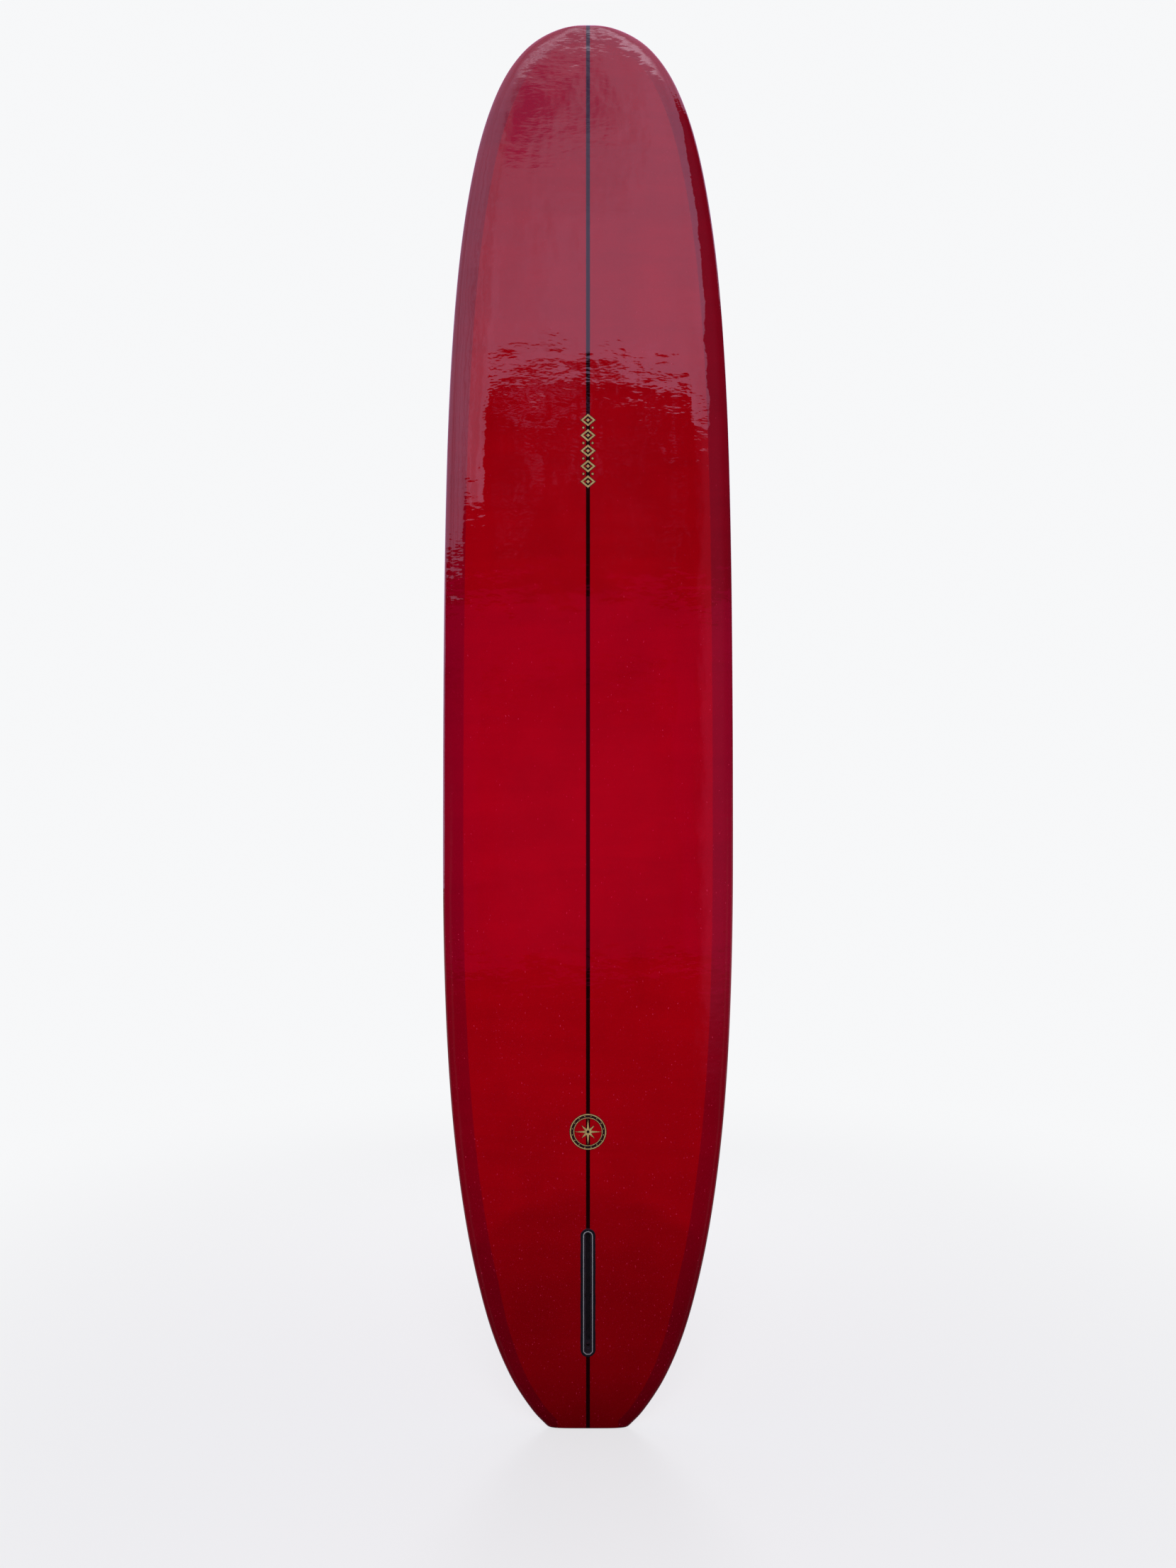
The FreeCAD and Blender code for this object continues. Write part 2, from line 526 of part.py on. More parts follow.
tube_way = drill("tube_way", "dims.leash_tube_outer", bottom_y - 20, deck_y + 20)
flare = doc.addObject("Part::Cone", "flare_way")
flare.setExpression("Radius1", "dims.leash_tube_outer")
flare.setExpression("Radius2", "dims.leash_mouth")
flare.setExpression("Height", "dims.leash_mouth_deep")
flare.Placement = FreeCAD.Placement(V(0, tube_high - lip - deep, station), FreeCAD.Rotation(V(1, 0, 0), -90))
mouth_way = drill("mouth_way", "dims.leash_mouth", tube_high - lip, deck_y + 20)
seat = drill("bead_seat", "dims.leash_bead_outer", deck_y - size("leash_bead_deep"), deck_y + 20)
seat_copy = drill("bead_seat_stock", "dims.leash_bead_outer", deck_y - size("leash_bead_deep"), deck_y + 20)
leash_rout = fuse("leash_rout", [tube_way, flare, mouth_way, seat])
tube_way2 = drill("tube_way_bead", "dims.leash_tube_outer", bottom_y - 20, deck_y + 20)
flare2 = doc.addObject("Part::Cone", "flare_way_bead")
flare2.setExpression("Radius1", "dims.leash_tube_outer")
flare2.setExpression("Radius2", "dims.leash_mouth")
flare2.setExpression("Height", "dims.leash_mouth_deep")
flare2.Placement = flare.Placement
mouth_way2 = drill("mouth_way_bead", "dims.leash_mouth", tube_high - lip, deck_y + 20)
tube_envelope = fuse("tube_envelope", [tube_way2, flare2, mouth_way2])
doc.recompute()

# ---------------------------------------------------------------- zones across the width
def zone(name, x0_expr, x0, width_expr):
    b = doc.addObject("Part::Box", name)
    b.setExpression("Length", width_expr)
    b.Width = 500
    b.setExpression("Height", "dims.board_length + 20")
    b.Placement = FreeCAD.Placement(V(x0, -250, -10), FreeCAD.Rotation())
    return b


half_s = size("stringer_width") / 2
right_zone = zone("right_zone", "", half_s, "dims.board_width")
left_zone = zone("left_zone", "", -half_s - size("board_width"), "dims.board_width")
stringer_zone = zone("stringer_zone", "", -half_s, "dims.stringer_width")

cuts = fuse("all_routs", [rout, leash_rout])


def finish(name, last, label):
    last.Label = label
    return last


parts = []
for label, z_ in (("foam_core_right", right_zone), ("foam_core_left", left_zone), ("stringer", stringer_zone)):
    c = boolean("Common", label + "_blank", hull_core, z_)
    parts.append(finish(label, boolean("Cut", label + "_piece", c, cuts), label))

# Deck glass: over the deck and around the rails to a cut line on the bottom.
a = boolean("Cut", "under_deck_glass", hull_mid, deck_field)
b = boolean("Cut", "deck_glass_1", hull_outer, a)
c = boolean("Cut", "deck_glass_2", b, hull_core)
d = boolean("Cut", "deck_glass_3", c, bottom_field)
parts.append(finish("deck_laminate", boolean("Cut", "deck_glass_piece", d, cuts), "deck_laminate"))
# Bottom glass: over the bottom and around the rails, lapped onto the deck beneath the deck glass.
a2 = boolean("Common", "bottom_field_trim", hull_outer, bottom_field)
b2 = fuse("bottom_glass_1", [a, a2])
c2 = boolean("Cut", "bottom_glass_2", b2, hull_core)
parts.append(finish("bottom_laminate", boolean("Cut", "bottom_glass_piece", c2, cuts), "bottom_laminate"))

# Fin box: trimmed flush, recessed inside its rim, drilled for the leash tube.
proud = boolean("Cut", "recess_cut", recess, hull_mid)
e = boolean("Common", "fin_box_flush", stock, hull_outer)
f = boolean("Cut", "fin_box_recessed", e, proud)
tube_way3 = drill("tube_way_box", "dims.leash_tube_outer", bottom_y - 20, deck_y + 20)
parts.append(finish("fin_box", boolean("Cut", "fin_box_piece", f, tube_way3), "fin_box"))
# Cured resin bed: walls and floor around the box, with a flush bead around its rim.
h_ = boolean("Common", "bed_blank", rout, hull_outer)
i_ = boolean("Cut", "bed_open", h_, envelope)
tube_way4 = drill("tube_way_bed", "dims.leash_tube_outer", bottom_y - 20, deck_y + 20)
parts.append(finish("fin_box_resin_bed", boolean("Cut", "bed_piece", i_, tube_way4), "fin_box_resin_bed"))
tube.Label = "leash_tube"
parts.append(tube)
j_ = boolean("Common", "leash_bead_blank", seat_copy, hull_outer)
parts.append(finish("leash_hole_bead", boolean("Cut", "leash_bead_piece", j_, tube_envelope), "leash_hole_bead"))

# ---------------------------------------------------------------- prints
def prism(points, y0, y1):
    pts = [V(x, y0, z) for x, z in points]
    return Part.Face(Part.makePolygon(pts + [pts[0]])).extrude(V(0, y1 - y0, 0))


def band_of_lozenges(station, y0, y1):
    """A plain geometric band: open lozenges with small squares between them."""
    n = 5
    pitch = size("mark_long") / n
    wide = size("mark_wide") / 2
    solids = []
    for i in range(n):
        z = station - size("mark_long") / 2 + pitch * (i + 0.5)
        tall = pitch * 0.40
        a = prism([(0, z - tall), (wide, z), (0, z + tall), (-wide, z)], y0, y1)
        k = 0.66
        b = prism([(0, z - tall * k), (wide * k, z), (0, z + tall * k), (-wide * k, z)], y0 - 1, y1 + 1)
        solids.append(a.cut(b))
        q = 3.0
        solids.append(prism([(0, z - q * 1.3), (q * 1.3, z), (0, z + q * 1.3), (-q * 1.3, z)], y0, y1))
        if i < n - 1:
            zz = z + pitch / 2
            for sx in (-1, 1):
                x = sx * wide * 0.62
                solids.append(prism([(x - 2.6, zz), (x, zz - 2.6), (x + 2.6, zz), (x, zz + 2.6)], y0, y1))
    return Part.makeCompound(solids)


def star_in_ring(station, y0, y1):
    """A plain eight pointed star inside a ring."""
    r = size("emblem_radius")

    def disc(radius, a, b):
        return Part.makeCylinder(radius, b - a, V(0, a, station), V(0, 1, 0))

    ring = disc(r, y0, y1).cut(disc(r - 2.2, y0 - 1, y1 + 1))
    inner = disc(r * 0.80, y0, y1).cut(disc(r * 0.80 - 1.3, y0 - 1, y1 + 1))
    pts = []
    for i in range(16):
        rr = (r * 0.72 if i % 4 == 0 else r * 0.50) if i % 2 == 0 else r * 0.17
        t = math.pi * i / 8
        pts.append((rr * math.sin(t), station + rr * math.cos(t)))
    star = prism(pts, y0, y1).cut(disc(r * 0.085, y0 - 1, y1 + 1))
    dots = []
    for i in range(16):
        t = math.pi * (i + 0.5) / 8
        x, z = r * 0.88 * math.sin(t), station + r * 0.88 * math.cos(t)
        dots.append(prism([(x - 1.2, z), (x, z - 1.2), (x + 1.2, z), (x, z + 1.2)], y0, y1))
    return Part.makeCompound([ring, inner, star] + dots)


def print_piece(label, shape):
    tool = feature(label + "_tool", shape)
    x_ = boolean("Common", label + "_sheet", hull_print, tool)
    return finish(label, boolean("Cut", label + "_piece", x_, hull_outer), label)


s = size("mark_bottom_station")
w_, lo, hi = section_size(s, 0.0)
parts.append(print_piece("bottom_band_print", band_of_lozenges(s, lo - 8, lo + 12)))
s = size("mark_deck_station")
w_, lo, hi = section_size(s, 0.0)
parts.append(print_piece("deck_band_print", band_of_lozenges(s, hi - 12, hi + 8)))
s = size("emblem_station")
w_, lo, hi = section_size(s, 0.0)
parts.append(print_piece("bottom_star_print", star_in_ring(s, lo - 8, lo + 12)))

doc.recompute()
bad = [o.Name for o in doc.Objects if "Invalid" in o.State or "Error" in o.State]
if bad:
    raise RuntimeError("failed objects: " + ", ".join(bad))
for o in parts:
    if o.Shape.isNull() or not o.Shape.isValid() or not o.Shape.Solids:
        raise RuntimeError("bad shape: " + o.Label)
os.makedirs("parts", exist_ok=True)
for o in parts:
    o.Shape.exportStep("parts/%s.step" % o.Label)
    bb = o.Shape.BoundBox
    print("%-20s solids %2d faces %3d volume %10.0f  x %.1f..%.1f y %.1f..%.1f z %.1f..%.1f" % (
        o.Label, len(o.Shape.Solids), len(o.Shape.Faces), o.Shape.Volume, bb.XMin, bb.XMax, bb.YMin, bb.YMax, bb.ZMin, bb.ZMax))
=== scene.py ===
import math
import bpy
import bmesh
import numpy as np
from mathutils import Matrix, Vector


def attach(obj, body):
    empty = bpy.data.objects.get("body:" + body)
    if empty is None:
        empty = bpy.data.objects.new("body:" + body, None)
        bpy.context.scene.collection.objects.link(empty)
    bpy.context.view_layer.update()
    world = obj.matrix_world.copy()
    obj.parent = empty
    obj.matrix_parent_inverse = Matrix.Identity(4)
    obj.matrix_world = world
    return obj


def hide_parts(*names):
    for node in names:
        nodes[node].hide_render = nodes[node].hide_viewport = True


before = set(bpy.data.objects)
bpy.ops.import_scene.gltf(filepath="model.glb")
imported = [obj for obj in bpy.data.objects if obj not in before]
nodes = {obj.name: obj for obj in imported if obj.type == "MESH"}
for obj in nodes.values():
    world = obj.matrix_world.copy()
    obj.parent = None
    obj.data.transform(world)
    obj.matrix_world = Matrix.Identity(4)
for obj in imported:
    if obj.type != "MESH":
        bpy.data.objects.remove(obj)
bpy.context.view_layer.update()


scene = bpy.context.scene
MM = 0.001

# ---------------------------------------------------------------- the board's offsets, millimetres
L = 3048.0
WIDTH, TALL = 612.8, 79.0
TAIL_Y = 98.0
PLAN = [
    (8, 53.6), (18, 80.0), (38, 113.6), (68, 144.9), (108, 173.0), (168, 201.5),
    (248, 227.5), (348, 249.5), (448, 265.2), (548, 276.7), (648, 285.0), (848, 295.9),
    (1048, 301.6), (1248, 304.7), (1448, 306.3), (1598, 307.0), (1748, 307.3), (1898, 307.0),
    (2048, 304.6), (2148, 301.5), (2248, 296.7), (2348, 289.9), (2448, 280.4), (2548, 267.9),
    (2648, 251.6), (2748, 230.3), (2848, 202.1), (2898, 183.1), (2948, 159.6), (2998, 128.6),
    (3023, 109.5), (3038, 95.1), (3048, 85.3),
]
FOIL = [
    (0, 22.0), (50, 28.5), (100, 34.0), (200, 42.5), (300, 49.5), (500, 60.0), (800, 70.5),
    (1200, 77.5), (1500, 79.0), (1800, 78.0), (2200, 72.0), (2500, 62.0), (2700, 51.0),
    (2850, 39.0), (2950, 28.0), (3000, 21.0), (3048, 14.0),
]


def spline(xs, ys):
    """Natural cubic through the points, for arrays."""
    xs, ys = np.array(xs, float), np.array(ys, float)
    n, h = len(xs), np.diff(xs)
    a, r = np.zeros((n, n)), np.zeros(n)
    a[0, 0] = a[-1, -1] = 1
    for i in range(1, n - 1):
        a[i, i - 1], a[i, i], a[i, i + 1] = h[i - 1], 2 * (h[i - 1] + h[i]), h[i]
        r[i] = 6 * ((ys[i + 1] - ys[i]) / h[i] - (ys[i] - ys[i - 1]) / h[i - 1])
    m = np.linalg.solve(a, r)

    def value(x):
        x = np.asarray(x, float)
        i = np.clip(np.searchsorted(xs, x) - 1, 0, n - 2)
        t, u, g = x - xs[i], xs[i + 1] - x, h[i]
        return (m[i] * u ** 3 + m[i + 1] * t ** 3) / (6 * g) + (ys[i] / g - m[i] * g / 6) * u + (ys[i + 1] / g - m[i + 1] * g / 6) * t

    return value


plan_curve = spline([0.0] + [d for d, w in PLAN], [357.0] + [w * w / d for d, w in PLAN])
foil_curve = spline([d for d, t in FOIL], [t for d, t in FOIL])
PLAN_SCALE = WIDTH / (2 * max(w for d, w in PLAN))


def half_width(s):
    d = np.clip(L - np.asarray(s, float), 0, L)
    return np.sqrt(np.maximum(plan_curve(d) * d, 0)) * PLAN_SCALE


def rocker(s):
    s = np.asarray(s, float)
    up = 112.0 * (np.maximum(s - 1450.0, 0) / (L - 1450.0)) ** 2.6
    down = 87.0 * (np.maximum(1450.0 - s, 0) / 1450.0) ** 2.5
    return up + down


def tail_round(s):
    s = np.asarray(s, float)
    return np.where(s < 5, 5 - np.sqrt(np.maximum(0, 25 - (5 - np.minimum(s, 5)) ** 2)), 0.0)


def section(s):
    """Half width, bottom height, deck height and rail apex height at each station."""
    s = np.asarray(s, float)
    d = np.maximum(L - s, 0)
    t = foil_curve(np.clip(s, 0, L)) * TALL / max(v for _, v in FOIL)
    nose = np.where(d >= 10, 1.0, np.sqrt(np.maximum(0, 1 - (1 - np.minimum(d, 10) / 10) ** 2)))
    k = tail_round(s)
    low = rocker(s) + t * (1 - nose) / 2 + 0.8 * k - TAIL_Y
    high = rocker(s) + t - t * (1 - nose) / 2 - 0.8 * k - TAIL_Y
    return half_width(s) - k, low, high, low + (high - low) * 0.43


def height(x, s, deck):
    w, low, high, apex = section(s)
    f = np.clip(np.abs(x) / np.maximum(w, 1e-6), 0, 1)
    if deck:
        return apex + (high - apex) * np.sqrt(np.maximum(0, 1 - f ** 2.6))
    return apex - (apex - low) * np.sqrt(np.maximum(0, 1 - f ** 4.5))


def on_skin(x, s, deck):
    """Plan point to a point of the outer skin, metres. The last of the nose is a small flat."""
    x, s = np.broadcast_arrays(np.asarray(x, float), np.asarray(s, float))
    f = np.clip(np.abs(x) / np.maximum(half_width(s), 1e-6), 0, 1)
    xr = np.sign(x) * np.maximum(np.abs(x) - tail_round(s) * f ** 6, 0)
    y = height(xr, s, deck)
    z = s - 0.68 * np.clip((s - (L - 12)) / 12, 0, 1) ** 1.5
    return np.stack([xr, y, z], -1) * MM


# ---------------------------------------------------------------- plan outline and lap lines
def outline_at(p):
    """Plan outline of the right side: the square root of the distance from the nose is p."""
    p = np.asarray(p, float)
    e = 1e-3
    s = L - p ** 2
    w = half_width(s)
    wa, wb = half_width(L - np.maximum(p - e, 0) ** 2), half_width(L - np.minimum(p + e, math.sqrt(L)) ** 2)
    dp = np.minimum(p + e, math.sqrt(L)) - np.maximum(p - e, 0)
    tx, ts = (wb - wa) / dp, -2 * p
    n = np.sqrt(tx ** 2 + ts ** 2)
    return w, s, ts / n, -tx / n


def bottom_lap(s):
    return 46.0 * np.minimum(1.0, 0.62 + 0.38 * np.asarray(s) / 320.0)


def deck_lap(s):
    return 48.0 * np.minimum(1.0, 0.45 + 0.55 * np.asarray(s) / 320.0)


def lap_curve(lap):
    """x of the lap line against the station, as a table that ends at the tail with a straight run."""
    p = np.linspace(0, math.sqrt(L), 6001)
    w, s, nx, ns = outline_at(p)
    k = lap(s)
    x, z = w + k * nx, s + k * ns
    z, x = z[::-1], x[::-1]
    keep = np.concatenate([[True], np.diff(np.maximum.accumulate(z)) > 1e-9])
    z, x = z[keep], np.maximum(x[keep], 0)

    def value(at):
        return np.interp(at, z, x)

    return value, float(z[-1])


bottom_x, bottom_tip = lap_curve(bottom_lap)
deck_x, deck_tip = lap_curve(deck_lap)


def inner_station(p, lap):
    """Where a row that starts on the outline meets the lap line: level at the tail, square to the rail further up."""
    w, s, nx, ns = outline_at(p)
    blend = np.clip((s - 20.0) / 420.0, 0, 1)
    blend = blend * blend * (3 - 2 * blend)
    return s + blend * lap(s) * ns


# Fin box frame and the outline of its resin bead.
BOX_C, BOX_A = 309.0, math.atan(-float((rocker(310.0) - rocker(308.0)) / 2))
BOX_Y = float(rocker(BOX_C)) - TAIL_Y
BEAD_R, BEAD_L = 15.25, 143.0


def box_z(s):
    w, low, high, apex = section(s)
    return -(low - BOX_Y) * math.sin(BOX_A) + (np.asarray(s, float) - BOX_C) * math.cos(BOX_A)


def bead_half(s):
    over = np.maximum(np.abs(box_z(s)) - (BEAD_L - BEAD_R), 0)
    return np.sqrt(np.maximum(BEAD_R ** 2 - over ** 2, 0))


LEASH_S, LEASH_R = 193.5, 6.55


def leash_half(s):
    return np.sqrt(np.maximum(LEASH_R ** 2 - (np.asarray(s, float) - LEASH_S) ** 2, 0))


# ---------------------------------------------------------------- rows of the skin mesh
def rows():
    """Values of p for the mesh rows, from the tail (largest) to the nose tip (zero)."""
    p = np.linspace(0, math.sqrt(L), 40001)
    w, s, nx, ns = outline_at(p)
    arc = np.concatenate([[0], np.cumsum(np.hypot(np.diff(w), np.diff(s)))])
    far = arc[-1] - arc
    step = 2.4 + 6.6 * np.clip(arc / 700.0, 0, 1) ** 1.2
    step = np.minimum(step, 2.2 + 6.8 * np.clip(far / 500.0, 0, 1))
    count = np.concatenate([[0], np.cumsum(np.diff(arc) / step[1:])])
    n = int(count[-1])
    base = np.interp(np.linspace(0, count[-1], n + 1), count, p)
    special = []
    fine = np.linspace(0, math.sqrt(L), 20001)
    low_rows, deck_rows = inner_station(fine, bottom_lap), inner_station(fine, deck_lap)
    st = np.linspace(100, 520, 8401)
    zl = box_z(st)
    for k in range(10):
        c = BEAD_L - BEAD_R + BEAD_R * math.cos(math.pi / 2 * k / 9)
        for sign in (-1, 1):
            at = float(np.interp(sign * c, zl, st))
            special.append(float(np.interp(-at, -low_rows, fine)))
    for k in range(13):
        at = LEASH_S - LEASH_R * math.cos(math.pi * k / 12)
        special.append(float(np.interp(-at, -deck_rows, fine)))
    for k in range(9):
        special.append(math.sqrt(L - 5 * (1 - math.cos(math.pi / 2 * k / 8))))
    special = np.array(sorted(set(special)))
    def clear(v, others, gap):
        sv, so = L - v ** 2, L - others ** 2
        return np.min(np.abs(sv - so)) > gap
    kept = [v for v in base if (v < 1.0 or clear(v, special, 0.7))]
    allp = np.array(sorted(set(kept) | set(special.tolist()) | {0.0, math.sqrt(L)}, reverse=True))
    return allp


ROWS = rows()
STRIP, FIELD = 26, 34


def strip(lap, lap_x, deck):
    """Plan points of the lap band, right side: rows by STRIP + 1."""
    w, s, nx, ns = outline_at(ROWS)
    si = inner_station(ROWS, lap)
    tip = L - float(lap(L))
    si = np.minimum(si, tip)
    exact_x, exact_s = w + lap(s) * nx, s + lap(s) * ns
    xi = np.where(s > 441.0, exact_x, lap_x(si))
    si = np.where(s > 441.0, exact_s, si)
    xi[-1], si[-1] = 0.0, tip
    q = (np.linspace(0, 1, STRIP + 1) ** 2)[None, :]
    x = w[:, None] + q * (xi - w)[:, None]
    z = s[:, None] + q * (si - s)[:, None]
    k = lap(s)[:, None]
    return x, z, k * (1 - q), xi, si


class Skin:
    def __init__(self):
        self.v, self.f, self.a, self.n = [], [], [], 0

    def grid(self, pts, lap):
        r, c = pts.shape[:2]
        self.v.append(pts.reshape(-1, 3))
        self.a.append(np.broadcast_to(lap, (r, c)).reshape(-1))
        i = np.arange(r * c).reshape(r, c) + self.n
        self.f += np.stack([i[:-1, :-1], i[1:, :-1], i[1:, 1:], i[:-1, 1:]], -1).reshape(-1, 4).tolist()
        self.n += r * c
        return i

    def both(self, x, z, lap, deck):
        right = on_skin(x, z, deck)
        left = right * np.array([-1.0, 1, 1])
        return self.grid(right, lap), self.grid(left, lap)

    def polygon(self, pts, lap):
        self.v.append(np.array(pts))
        self.a.append(np.full(len(pts), lap))
        self.f.append(list(range(self.n, self.n + len(pts))))
        self.n += len(pts)

    def make(self, name, outward):
        me = bpy.data.meshes.new(name)
        me.from_pydata(np.concatenate(self.v).tolist(), [], self.f)
        att = me.attributes.new("lap", "FLOAT", "POINT")
        att.data.foreach_set("value", np.concatenate(self.a).astype(np.float32))
        bm = bmesh.new()
        bm.from_mesh(me)
        bmesh.ops.remove_doubles(bm, verts=bm.verts, dist=1e-5)
        bmesh.ops.dissolve_degenerate(bm, edges=bm.edges, dist=1e-6)
        bmesh.ops.recalc_face_normals(bm, faces=bm.faces)
        bm.normal_update()
        if sum(outward(f.calc_center_median(), f.normal) * f.calc_area() for f in bm.faces) < 0:
            bmesh.ops.reverse_faces(bm, faces=bm.faces)
        for e in bm.edges:
            if e.is_boundary:
                e.smooth = False
        bm.to_mesh(me)
        bm.free()
        me.polygons.foreach_set("use_smooth", [True] * len(me.polygons))
        me.update()
        ob = bpy.data.objects.new(name, me)
        scene.collection.objects.link(ob)
        return ob


def field(xi, si, hole, lap_dist):
    """Plan points between a centre opening (or the centre line) and the lap line."""
    u = np.linspace(0, 1, FIELD + 1)[None, :]
    x0 = np.minimum(hole(si), xi)[:, None]
    x = x0 + (xi[:, None] - x0) * u
    z = np.repeat(si[:, None], FIELD + 1, 1)
    return x, z, -(xi[:, None] - x)


def rail_out(c, n):
    return n.x * c.x + n.y * (c.y + 0.06)


def thicken(ob, thickness):
    m = ob.modifiers.new("thickness", "SOLIDIFY")
    m.thickness = thickness
    m.offset = -1
    m.use_rim = True
    m.use_even_offset = False
    return m


bx, bz, bl, bxi, bsi = strip(bottom_lap, bottom_x, False)
dx, dz, dl, dxi, dsi = strip(deck_lap, deck_x, True)

bottom = Skin()
fx, fz, fl = field(bxi, bsi, bead_half, None)
bottom.both(fx, fz, fl, False)
bottom_glass = bottom.make("bottom_glass", lambda c, n: -n.y)
thicken(bottom_glass, 0.0009)

deck = Skin()
deck.both(bx, bz, bl, False)
tail = 23.0
deck.both(dx, dz, np.maximum(dl, tail - dz), True)
gx, gz, gl = field(dxi, dsi, leash_half, None)
deck.both(gx, gz, np.maximum(gl, tail - gz), True)
top_row = np.concatenate([on_skin(dx[0], dz[0], True), on_skin(gx[0][::-1], gz[0], True)[1:]])
low_row = np.concatenate([on_skin(bx[0], bz[0], False), on_skin(fx[0][::-1], fz[0], False)[1:]])
flip = np.array([-1.0, 1, 1])
ring = np.concatenate([top_row, (top_row * flip)[::-1][1:], (low_row * flip)[1:], low_row[::-1][1:-1]])
deck.polygon(ring, 12.0)
deck_glass = deck.make("deck_glass", rail_out)
thicken(deck_glass, 0.0012)

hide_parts("bottom_laminate")
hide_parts("deck_laminate")
for ob in (bottom_glass, deck_glass):
    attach(ob, "root")


# ---------------------------------------------------------------- resin bead round the fin box
def on_box(x, zl, up):
    """Point of the bottom skin under box coordinates x, zl, raised by up along the box's outward axis."""
    x, zl, up = np.broadcast_arrays(np.asarray(x, float), np.asarray(zl, float), np.asarray(up, float))
    s = BOX_C + zl / math.cos(BOX_A)
    for _ in range(4):
        y = height(x, s, False)
        s = BOX_C + (zl + (y - BOX_Y) * math.sin(BOX_A)) / math.cos(BOX_A)
    return np.stack([x, y - up * math.cos(BOX_A), s - up * math.sin(BOX_A)], -1) * MM


def closed_rings(name, loops):
    """A closed band from loops of points of equal count: each joins the next, and the last joins the first."""
    n, k = len(loops[0]), len(loops)
    me = bpy.data.meshes.new(name)
    faces = []
    for j in range(k):
        for i in range(n):
            a, b = j * n + i, j * n + (i + 1) % n
            c, d = ((j + 1) % k) * n + (i + 1) % n, ((j + 1) % k) * n + i
            faces.append([a, b, c, d])
    me.from_pydata(np.concatenate(loops).tolist(), [], faces)
    return me


def finished(name, me, smooth=True):
    bm = bmesh.new()
    bm.from_mesh(me)
    bmesh.ops.recalc_face_normals(bm, faces=bm.faces)
    bm.to_mesh(me)
    bm.free()
    me.polygons.foreach_set("use_smooth", [smooth] * len(me.polygons))
    me.update()
    ob = bpy.data.objects.new(name, me)
    scene.collection.objects.link(ob)
    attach(ob, "root")
    return ob


def bead_paths():
    """Matching points of the bead's outer stadium and the fin box's outline, in box coordinates."""
    out, inn, nrm = [], [], []
    cz, side = BEAD_L - BEAD_R, 150
    for i in range(side):
        z = -cz + 2 * cz * i / side
        out.append((BEAD_R, z)), inn.append((10.5, z * 127.5 / cz)), nrm.append((1, 0))
    for i in range(40):
        t = math.pi * i / 40
        c, q = math.cos(t), math.sin(t)
        out.append((BEAD_R * c, cz + BEAD_R * q)), inn.append((10.5 * c, 127.5 + 10.5 * q)), nrm.append((c, q))
    for i in range(side):
        z = cz - 2 * cz * i / side
        out.append((-BEAD_R, z)), inn.append((-10.5, z * 127.5 / cz)), nrm.append((-1, 0))
    for i in range(48):
        t = math.pi + math.pi * i / 48
        c, q = math.cos(t), -math.sin(t)
        r = min(10.5 / max(abs(c), 1e-6), 14.6 / (abs(c) + q), 10.25 / max(q, 1e-6))
        out.append((BEAD_R * c, -cz - BEAD_R * q)), inn.append((r * c, -cz - r * q)), nrm.append((c, -q))
    return np.array(out), np.array(inn), np.array(nrm)


b_out, b_in, b_n = bead_paths()
walk = np.concatenate([[0], np.cumsum(np.hypot(*np.diff(b_out, axis=0).T))])
wob = 0.30 * np.sin(walk * 0.071 + 0.6) + 0.22 * np.sin(walk * 0.163 + 2.0) + 0.12 * np.sin(walk * 0.39 + 4.4) + 0.06 * np.sin(walk * 0.83)
swell = 1.0 + 0.22 * np.sin(walk * 0.049 + 1.0) + 0.12 * np.sin(walk * 0.21)
lip = b_out + b_n * (0.75 + 0.8 * wob)[:, None]
loops = []
for t, h in ((0.0, -0.05), (0.05, 0.09), (0.13, 0.24), (0.26, 0.40), (0.42, 0.50), (0.60, 0.50), (0.76, 0.39), (0.89, 0.22), (0.97, 0.09), (1.0, 0.0)):
    q = lip + (b_in - lip) * t
    loops.append(on_box(q[:, 0], q[:, 1], h * (swell if 0 < t < 1 else 1)))
loops.append(on_box(b_in[:, 0], b_in[:, 1], -3.0))
loops.append(on_box(b_out[:, 0] - 0.1 * b_n[:, 0], b_out[:, 1] - 0.1 * b_n[:, 1], -3.0))
loops.append(on_box(b_out[:, 0] - 0.1 * b_n[:, 0], b_out[:, 1] - 0.1 * b_n[:, 1], -0.4))
fin_bead = finished("fin_box_bead", closed_rings("fin_box_bead", loops))
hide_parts("fin_box_resin_bed")

# Ring of black resin round the leash tube's mouth, domed where it was poured.
ringn = 72
ang = np.linspace(0, 2 * math.pi, ringn, endpoint=False)
loops = []
for r_, h in ((LEASH_R + 0.9, -0.05), (LEASH_R + 0.6, 0.10), (LEASH_R + 0.1, 0.26), (LEASH_R - 0.25, 0.28), (6.05, 0.14), (5.87, -0.05), (5.87, -1.2), (LEASH_R - 0.1, -1.2), (LEASH_R - 0.1, -0.5)):
    rr = r_ + (0.28 * np.sin(ang * 3 + 0.5) + 0.15 * np.sin(ang * 7) if r_ > LEASH_R else 0)
    x, s_ = rr * np.cos(ang), LEASH_S + rr * np.sin(ang)
    pts = on_skin(x, s_, True)
    pts[:, 1] += h * MM
    loops.append(pts)
leash_ring = finished("leash_ring", closed_rings("leash_ring", loops))
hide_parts("leash_hole_bead")


